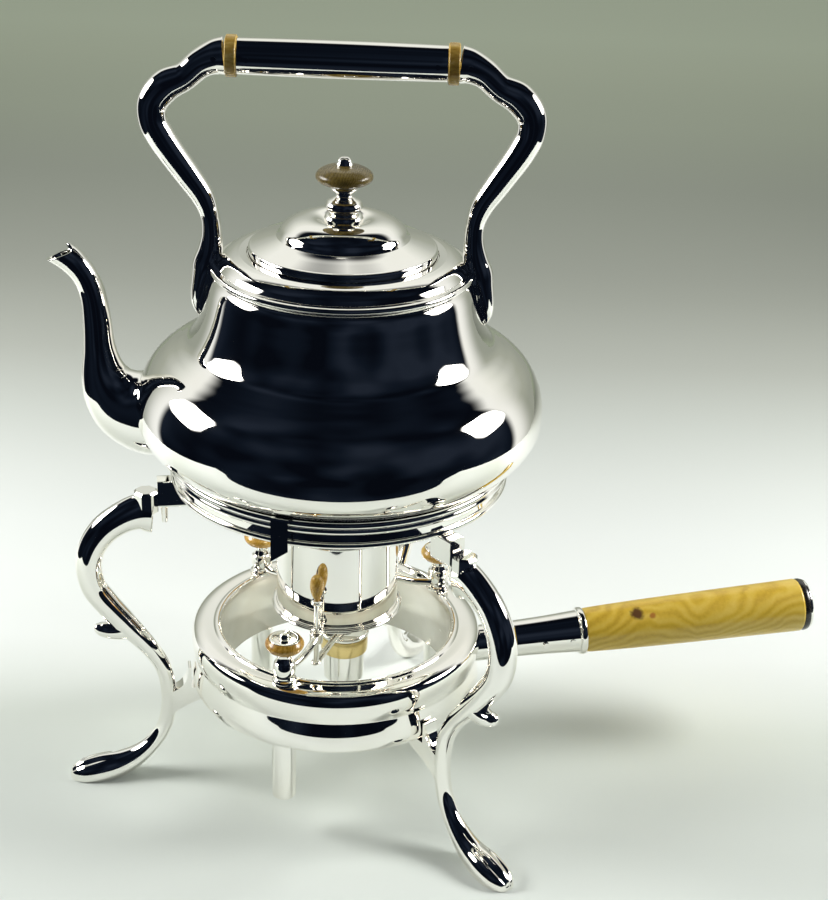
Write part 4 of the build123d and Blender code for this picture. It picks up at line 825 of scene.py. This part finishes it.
SPUR_STATIONS = [
    (100.5, 84.5, 13.0, 9.6), (106.5, 83.2, 10.2, 8.8), (111.5, 83.4, 8.2, 8.0),
    (115.2, 84.6, 6.4, 6.6), (117.4, 85.8, 2.6, 3.0),
]
TOE_DEPTH = 0.2
TOE_PARTINGS = (-0.36, 0.36)
TOE_PARTING_WIDE = 0.14
FOOT_FROM = 0.8  # share of the leg's length where the toes begin
FOOT_GROWS = 0.1


def toes(share, t, u, v):
    """Two hollows along the top of the foot that part its three toes."""
    grown = min(max((share - FOOT_FROM) / FOOT_GROWS, 0.0), 1.0)
    depth = TOE_DEPTH * grown * max(-cos(t), 0.0)
    hollow = sum(np.exp(-(((sin(t) - place) / TOE_PARTING_WIDE) ** 2)) for place in TOE_PARTINGS)
    return u * (1 - depth * hollow), v


def flat_on_floor(made):
    """Presses what would reach below the floor up to it."""
    for vert in made.data.vertices:
        if vert.co.z < 0:
            vert.co.z = 0.0
    made.data.update()


for number, angle in enumerate(LEG_ANGLES, 1):
    flat_on_floor(bar(
        f"cast_leg_{number}", LEG_STATIONS, "stand", SILVER, f"leg_{number}",
        angle=angle, steps=8, around=64, shape=toes,
    ))
    bar(f"leg_spur_{number}", SPUR_STATIONS, "stand", SILVER, angle=angle, steps=6, around=28)

# ------------------------------------------------------------------ lamp
TANK_LOW = 50.0
TANK_TOP = 82.0
TANK_BORE = 57.0
LINING_R = 56.2
BEAD_FOOT = 82.2
turned(
    "lamp_tank_shell",
    [
        *corners((TANK_BORE, TANK_LOW), (TANK_BORE, 79.0), (TANK_BORE, BEAD_FOOT)),
        [(TANK_BORE, BEAD_FOOT), (58.2, 83.0), (59.6, 82.8), (60.4, TANK_TOP)],
        [(60.4, TANK_TOP), (66.5, TANK_TOP), (69.7, 80.5), (70.9, 77.4), (71.1, 74.8), (70.6, 70.6),
         (69.4, 66.6)],
        [(69.4, 66.6), (70.25, 62.6), (70.85, 59.2), (71.2, 55.0), (70.3, 51.6), (68.0, TANK_LOW)],
        [(68.0, TANK_LOW), (TANK_BORE, TANK_LOW)],
    ],
    upright(), "lamp", SILVER, "lamp_tank", around=192, edge=0.3,
)
turned(
    "tank_bore_wall",
    [
        [(LINING_R, TANK_LOW), (LINING_R, 79.0)],
        [(LINING_R, 79.0), (56.3, 80.6), (TANK_BORE, BEAD_FOOT)],
        *corners((TANK_BORE, BEAD_FOOT), (TANK_BORE, TANK_LOW), (LINING_R, TANK_LOW)),
    ],
    upright(), "lamp", DULL_PLATE, around=192, edge=0.2,
)
POST_R = 5.7
POST_NECK = 3.4
POST_LINE = [
    *corners(
        (0.0, 18.0), (4.7, 18.0), (POST_R, 19.0), (POST_R, TANK_LOW), (POST_NECK, TANK_LOW),
        (POST_NECK, TANK_TOP), (POST_R, TANK_TOP),
    ),
    [(POST_R, TANK_TOP), (5.9, 82.8), (5.6, 83.7)],
    [(5.6, 83.7), (4.6, 84.4), (4.5, 85.2)],
    [(4.5, 85.2), (5.2, 87.2), (5.35, 89.6), (4.9, 92.2)],
    [(4.9, 92.2), (4.3, 92.8), (3.7, 94.0), (3.2, 95.6), (3.6, 98.0)],
    [(3.6, 98.0), (0.0, 98.0)],
]
KNOB_LOW = 98.3
PLATE_LOW = KNOB_LOW + 6.2
PLATE_R = 7.2
KNOB_LINE = [
    [(0.0, KNOB_LOW), (5.0, KNOB_LOW)],
    [(5.0, KNOB_LOW), (7.6, KNOB_LOW + 1.2), (9.0, KNOB_LOW + 3.4), (8.9, KNOB_LOW + 4.6),
     (7.5, KNOB_LOW + 6.6)],
    *corners((7.5, KNOB_LOW + 6.6), (PLATE_R, PLATE_LOW), (0.0, PLATE_LOW)),
]
PLATE_LINE = [
    *corners((0.0, 89.0), (2.0, 89.0), (2.0, PLATE_LOW), (PLATE_R, PLATE_LOW)),
    [(PLATE_R, PLATE_LOW), (7.1, KNOB_LOW + 6.8), (6.0, KNOB_LOW + 7.0)],
    [(6.0, KNOB_LOW + 7.0), (3.0, KNOB_LOW + 6.8)],
    [(3.0, KNOB_LOW + 6.8), (2.3, KNOB_LOW + 7.2), (2.4, KNOB_LOW + 8.4), (1.6, KNOB_LOW + 9.4),
     (0.0, KNOB_LOW + 9.7)],
]
for number, angle in enumerate(POST_ANGLES, 1):
    place = upright(*polar(POST_CIRCLE, angle)[:2])
    turned(
        f"turned_post_{number}", POST_LINE, place, "lamp", SILVER, f"lamp_post_{number}", around=56
    )
    turned(
        f"knob_wood_{number}", KNOB_LINE, place, f"knob_{number}", PALE_FRUITWOOD,
        f"knob_disc_{number}", around=72, steps=10,
    )
    turned(
        f"knob_plate_{number}", PLATE_LINE, place, f"knob_{number}", SILVER,
        f"knob_screw_{number}", around=56,
    )

BURNER_BORE = 8.02
turned(
    "burner_column",
    corners(
        (0.0, 51.0), (10.0, 51.0), (10.0, 74.0), (BURNER_BORE, 74.0), (BURNER_BORE, 52.5), (0.0, 52.5)
    ),
    upright(BURNER_X), "lamp", SILVER, "burner_tube", around=72,
)
BAND_R = 10.02
turned(
    "burner_collar_band",
    [
        [(BAND_R, 66.0), (11.3, 66.0)],
        [(11.3, 66.0), (11.5, 66.4), (11.5, 74.4), (11.2, 75.0)],
        *corners((11.2, 75.0), (BAND_R, 75.0), (BAND_R, 66.0)),
    ],
    upright(BURNER_X), "lamp", BRASS, "burner_collar", around=72, edge=0.2,
)
CHIMNEY_R = 29.6
CHIMNEY_LOW = 92.0
turned(
    "chimney_tube",
    [
        *corners((28.8, CHIMNEY_LOW), (CHIMNEY_R, CHIMNEY_LOW), (CHIMNEY_R, 135.9)),
        [(CHIMNEY_R, 135.9), (30.0, 136.5), (29.7, 137.2), (29.2, 137.3), (28.7, 137.1), (28.5, 136.4)],
        [(28.5, 136.4), (28.8, CHIMNEY_LOW)],
    ],
    upright(), "lamp", SILVER, "chimney", around=128,
)
GALLERY_BORE = CHIMNEY_R + 0.02
turned(
    "gallery_band",
    [
        [(GALLERY_BORE, CHIMNEY_LOW), (30.6, CHIMNEY_LOW)],
        [(30.6, CHIMNEY_LOW), (31.4, 92.4), (31.6, 93.0), (31.2, 93.5), (30.8, 93.7)],
        [(30.8, 93.7), (31.2, 94.2), (31.1, 94.9), (30.4, 95.2)],
        *corners((30.4, 95.2), (GALLERY_BORE, 95.2), (GALLERY_BORE, CHIMNEY_LOW)),
    ],
    upright(), "lamp", SILVER, "chimney_gallery", around=128, edge=0.15,
)
ARM_SWEEP = 7.0  # degrees that a gallery arm gives way to the side before it meets its post
for number, angle in enumerate(POST_ANGLES, 1):
    rod(
        f"gallery_arm_{number}",
        [
            polar(31.2, angle + ARM_SWEEP, 93.6), polar(39.0, angle + ARM_SWEEP, 91.6),
            polar(48.0, angle + ARM_SWEEP / 2, 88.0), polar(57.4, angle, 86.2),
        ],
        [1.7, 1.9, 1.8, 2.0], "lamp", SILVER,
    )
spindle_x, spindle_y = polar(*SPINDLE)[:2]
spindle_place = upright(spindle_x, spindle_y)
turned(
    "spindle_eye",
    corners((1.36, 89.4), (3.2, 89.4), (3.2, 94.4), (1.36, 94.4), (1.36, 89.4)),
    spindle_place, "lamp", SILVER, around=40,
)

# ------------------------------------------------------------------ snuffer
turned(
    "snuffer_disc",
    corners((0.0, 75.3), (12.2, 75.3), (12.2, 76.7), (11.6, 77.3), (0.0, 77.5)),
    upright(BURNER_X), "snuffer", SILVER, "snuffer", around=72,
)
BLADE_Z = 78.1
BLADE_THICK = 1.6
BLADE_AROUND = 16
BLADE_STATIONS = (  # share of the way from the spindle to the burner, and half width
    (-0.07, 1.2), (0.0, 2.5), (0.08, 2.0), (0.5, 1.8), (0.85, 2.2), (1.0, 4.0), (1.1, 1.2),
)


def snuffer_blade():
    """The flat arm from the spindle to the snuffer's disc."""
    reach = Vector((BURNER_X - spindle_x, -spindle_y, 0))
    across = reach.cross(Vector((0, 0, 1))).normalized()
    rise = Vector((0, 0, BLADE_THICK / 2))
    turns = [2 * pi * k / BLADE_AROUND for k in range(BLADE_AROUND)]
    rings = []
    for share, half in BLADE_STATIONS:
        middle = Vector((spindle_x, spindle_y, BLADE_Z)) + reach * share
        rings.append([AXIS + (middle + across * half * cos(t) + rise * sin(t)) * MM for t in turns])
    verts, faces = ring_sections(rings)
    weld_and_face_out(piece("snuffer_arm", verts, faces, "snuffer", SILVER))


snuffer_blade()
SPINDLE_R = 1.3
ACORN_LOW = 112.2
turned(
    "spindle",
    corners(
        (0.0, 77.4), (SPINDLE_R, 77.4), (SPINDLE_R, 94.7), (2.4, 94.7), (2.4, 96.1), (SPINDLE_R, 96.5),
        (SPINDLE_R, ACORN_LOW), (0.0, ACORN_LOW),
    ),
    spindle_place, "snuffer", SILVER, around=32, edge=0.15,
)
turned(
    "acorn_cup",
    [
        [(SPINDLE_R, 109.6), (1.9, 109.6)],
        [(1.9, 109.6), (2.7, 110.3), (2.8, 110.9), (2.7, 111.5), (1.9, ACORN_LOW)],
        [(1.9, ACORN_LOW), (SPINDLE_R, ACORN_LOW)],
    ],
    spindle_place, "snuffer", SILVER, "acorn_ring", around=40, edge=0.15,
)
turned(
    "acorn_wood",
    [
        [(0.0, ACORN_LOW), (1.2, ACORN_LOW)],
        [(1.2, ACORN_LOW), (2.2, 114.4), (3.1, 117.6), (3.3, 120.2), (2.8, 123.2), (1.5, 125.0),
         (0.0, 125.4)],
    ],
    spindle_place, "snuffer", PALE_FRUITWOOD, "acorn", around=48, steps=10,
)

# ------------------------------------------------------------------ lamp handle
ROD_HOLE = 2.42
TENON_R = 8.6
SHOULDER = 61.5
WOOD_END = 176.0
WASHER_END = WOOD_END + 3.0
place = lamp_handle_place()
turned(
    "ferrule_tube",
    [
        [(0.0, 2.4), (9.0, 2.4)],
        [(9.0, 2.4), (9.05, 12.0), (9.3, 28.0), (9.9, 44.0), (10.7, 57.6)],
        [(10.7, 57.6), (11.7, 58.2), (12.1, 59.6), (11.8, 60.9), (10.9, SHOULDER)],
        *corners((10.9, SHOULDER), (TENON_R, SHOULDER), (TENON_R, 46.0), (0.0, 46.0)),
    ],
    place, "lamp", SILVER, "handle_ferrule", around=96,
)
turned(
    "boxwood_grip",
    [
        *corners((ROD_HOLE, 46.5), (TENON_R, 46.5), (TENON_R, SHOULDER), (11.1, SHOULDER)),
        [(11.1, SHOULDER), (11.4, 66.0), (12.3, 95.0), (13.0, 135.0), (13.55, 172.0), (13.6, 175.2)],
        *corners((13.6, 175.2), (13.1, WOOD_END), (ROD_HOLE, WOOD_END), (ROD_HOLE, 46.5)),
    ],
    place, "lamp", BOXWOOD, "lamp_handle_wood", around=128,
)
turned(
    "ebony_washer",
    [
        [(ROD_HOLE, WOOD_END), (13.2, WOOD_END)],
        [(13.2, WOOD_END), (13.5, 177.5), (13.2, WASHER_END)],
        *corners((13.2, WASHER_END), (ROD_HOLE, WASHER_END), (ROD_HOLE, WOOD_END)),
    ],
    place, "lamp", EBONY, "handle_washer", around=96,
)
turned(
    "domed_cap",
    [
        [(0.0, WASHER_END), (12.9, WASHER_END)],
        [(12.9, WASHER_END), (12.9, 179.8), (12.6, 180.3)],
        [(12.6, 180.3), (11.0, 181.3), (8.6, 182.4), (5.0, 183.2), (0.0, 183.6)],
    ],
    place, "lamp", SILVER, "end_cap", around=96,
)

# ------------------------------------------------------------------ studio
def studio_world():
    """A dark room on the near side, beside and above, and a pale one behind."""
    world = bpy.data.worlds.new("studio_room")
    bpy.context.scene.world = world
    world.use_nodes = True
    tree = world.node_tree
    tree.nodes.clear()
    link = tree.links.new
    way = tree.nodes.new("ShaderNodeTexCoord")
    split = tree.nodes.new("ShaderNodeSeparateXYZ")
    link(way.outputs["Generated"], split.inputs[0])
    # the wall behind brightens with height, and towards its two ends
    rise = ramp(tree, [
        (0.0, (0.31, 0.33, 0.28)), (0.2, (0.37, 0.39, 0.33)), (0.34, (0.5, 0.52, 0.47)),
        (0.46, (0.7, 0.72, 0.66)), (0.57, (0.88, 0.89, 0.84)),
    ])
    link(split.outputs["Z"], rise.inputs[0])
    ends = eased(tree, split.outputs["Y"], 0.72, 0.42)
    wall = node(tree, "ShaderNodeMix", data_type="RGBA")
    wall.inputs["B"].default_value = (0.9, 0.91, 0.88, 1.0)
    link(ends, wall.inputs["Factor"])
    link(rise.outputs[0], wall.inputs["A"])
    # 1 for all that isn't behind the kettle
    near = eased(tree, split.outputs["Y"], 0.42, 0.32)
    # the dark above comes lower at the sides than straight behind
    aside = maths(tree, "ABSOLUTE", split.outputs["X"])
    height = maths(tree, "MULTIPLY_ADD", aside, 0.35, split.outputs["Z"])
    dark = maths(tree, "MAXIMUM", near, eased(tree, height, 0.82, 0.92))
    clutter = noise(tree, way.outputs["Generated"], Scale=1.7, Detail=1.0)
    gloom = ramp(tree, [
        (0.36, (0.002, 0.003, 0.006)), (0.52, (0.005, 0.008, 0.015)), (0.7, (0.013, 0.018, 0.03)),
    ])
    link(clutter.outputs["Fac"], gloom.inputs[0])
    tone = node(tree, "ShaderNodeMix", data_type="RGBA")
    link(gloom.outputs[0], tone.inputs["B"])
    link(wall.outputs["Result"], tone.inputs["A"])
    link(dark, tone.inputs["Factor"])
    back = tree.nodes.new("ShaderNodeBackground")
    link(tone.outputs["Result"], back.inputs["Color"])
    back.inputs["Strength"].default_value = 1.0
    out = tree.nodes.new("ShaderNodeOutputWorld")
    link(back.outputs[0], out.inputs[0])


def floor_material():
    """Pale paper with painted light and shade: a painted shadow across the kettle's row, a painted pool of
    light just behind it, and painted shade that greys it with distance.
    """
    made, tree, shader = blank_material("studio_paper")
    link = tree.links.new
    place = tree.nodes.new("ShaderNodeTexCoord")
    split = tree.nodes.new("ShaderNodeSeparateXYZ")
    link(place.outputs["Object"], split.inputs[0])
    far = node(tree, "ShaderNodeMapRange", From_Min=-0.2, From_Max=1.8)
    link(split.outputs["Y"], far.inputs["Value"])
    # painted light and shade on the paper: the dip by the kettle is a painted shadow, the lighter band
    # behind it is a painted pool of the lamps' light, and the fall beyond is painted shade
    tone = ramp(tree, [
        (0.0, (0.7, 0.75, 0.72)), (0.08, (0.63, 0.68, 0.64)), (0.11, (0.63, 0.68, 0.63)),
        (0.15, (0.74, 0.78, 0.76)), (0.22, (0.72, 0.76, 0.74)), (0.26, (0.68, 0.72, 0.69)),
        (0.31, (0.61, 0.65, 0.61)), (0.37, (0.53, 0.56, 0.51)), (0.45, (0.49, 0.52, 0.46)),
        (1.0, (0.48, 0.53, 0.42)),
    ])
    link(far.outputs[0], tone.inputs[0])
    fibre = noise(tree, place.outputs["Object"], Scale=900.0, Detail=2.0)
    bumped(tree, fibre.outputs["Fac"], shader.inputs["Normal"], Strength=0.1, Distance=0.0002)
    link(tone.outputs[0], shader.inputs["Base Color"])
    shader.inputs["Roughness"].default_value = 0.9
    shader.inputs["Specular IOR Level"].default_value = 0.1
    # a painted glow: seen straight or in the plate, the far end of the paper gives off a little light of its
    # own, though it is no lamp
    painted_glow = ramp(tree, [
        (0.48, (0.0, 0.0, 0.0)), (0.62, (0.04, 0.045, 0.035)), (0.75, (0.11, 0.125, 0.09)),
        (0.9, (0.165, 0.185, 0.135)), (1.0, (0.19, 0.215, 0.16)),
    ])
    link(far.outputs[0], painted_glow.inputs[0])
    path = tree.nodes.new("ShaderNodeLightPath")
    seen = maths(tree, "MAXIMUM", path.outputs["Is Camera Ray"], path.outputs["Is Glossy Ray"])
    link(painted_glow.outputs[0], shader.inputs["Emission Color"])
    link(seen, shader.inputs["Emission Strength"])
    return made


PAPER_ROWS = ((-0.28, 0.58), (0.4, 0.58), (2.6, 1.6))  # distance and half width
SOFTBOXES = (
    # name, azimuth from the near side, width, power
    ("left_softbox", -94.0, 0.54, 20.2),
    ("right_softbox", 95.0, 0.46, 18.4),
)
SOFTBOX_REACH = 0.86
SOFTBOX_Z = 0.6
SOFTBOX_TALL = 0.42
LAMP_COLOUR = (1.0, 0.985, 0.96)


def soften(lamp):
    """Fades a lamp's light from its middle to its edges."""
    lamp.use_nodes = True
    tree = lamp.node_tree
    link = tree.links.new
    spread = tree.nodes.new("ShaderNodeNewGeometry")
    centred = node(tree, "ShaderNodeVectorMath", operation="DISTANCE")
    centred.inputs[1].default_value = (0.5, 0.5, 0.0)
    link(spread.outputs["Parametric"], centred.inputs[0])
    link(eased(tree, centred.outputs["Value"], 0.62, 0.2), tree.nodes["Emission"].inputs["Strength"])


def studio():
    """The paper floor that widens to the back, and the two lamps beside the kettle."""
    verts = [(x, y, 0.0) for y, half in PAPER_ROWS for x in (-half, half)]
    mesh = bpy.data.meshes.new("paper_floor")
    mesh.from_pydata(verts, [], [(0, 1, 3, 2), (2, 3, 5, 4)])
    mesh.materials.append(floor_material())
    paper = bpy.data.objects.new("paper_floor", mesh)
    bpy.context.scene.collection.objects.link(paper)
    for name, azimuth, wide, power in SOFTBOXES:
        lamp = bpy.data.lights.new(name, "AREA")
        lamp.shape = "RECTANGLE"
        lamp.size = wide
        lamp.size_y = SOFTBOX_TALL
        lamp.energy = power
        lamp.color = LAMP_COLOUR
        soften(lamp)
        holder = bpy.data.objects.new(name, lamp)
        bpy.context.scene.collection.objects.link(holder)
        spot = AXIS + Vector((
            SOFTBOX_REACH * sin(radians(azimuth)), -SOFTBOX_REACH * cos(radians(azimuth)), SOFTBOX_Z
        ))
        holder.location = spot
        aim = AXIS + Vector((0.0, 0.0, 0.2)) - spot
        holder.rotation_euler = aim.to_track_quat("-Z", "Y").to_euler()


EYE = (33.8, -746.7, 523.4)
YAW = 0.10
PITCH = 24.97  # downwards
ROLL = 2.17
SENSOR_W = 36.0
FOCAL_SHARE = 1746.1 / 828.0  # focal length as a share of the picture's width


def camera():
    """The camera, on the near side and looking down a little."""
    yaw, pitch, roll = radians(YAW), radians(PITCH), radians(ROLL)
    ahead = Vector((sin(yaw) * cos(pitch), cos(yaw) * cos(pitch), -sin(pitch)))
    right = Vector((cos(yaw), -sin(yaw), 0))
    up = right.cross(ahead)
    right_rolled = right * cos(roll) + up * sin(roll)
    up_rolled = up * cos(roll) - right * sin(roll)
    lens = bpy.data.cameras.new("view")
    lens.sensor_fit = "HORIZONTAL"
    lens.sensor_width = SENSOR_W
    lens.lens = FOCAL_SHARE * SENSOR_W
    lens.clip_start = 0.01
    eye = bpy.data.objects.new("view", lens)
    bpy.context.scene.collection.objects.link(eye)
    spot = AXIS + Vector(EYE) * MM
    eye.matrix_world = Matrix((
        (right_rolled.x, up_rolled.x, -ahead.x, spot.x),
        (right_rolled.y, up_rolled.y, -ahead.y, spot.y),
        (right_rolled.z, up_rolled.z, -ahead.z, spot.z),
        (0, 0, 0, 1),
    ))
    bpy.context.scene.camera = eye


studio_world()
studio()
camera()
bpy.context.scene.view_settings.view_transform = "Standard"
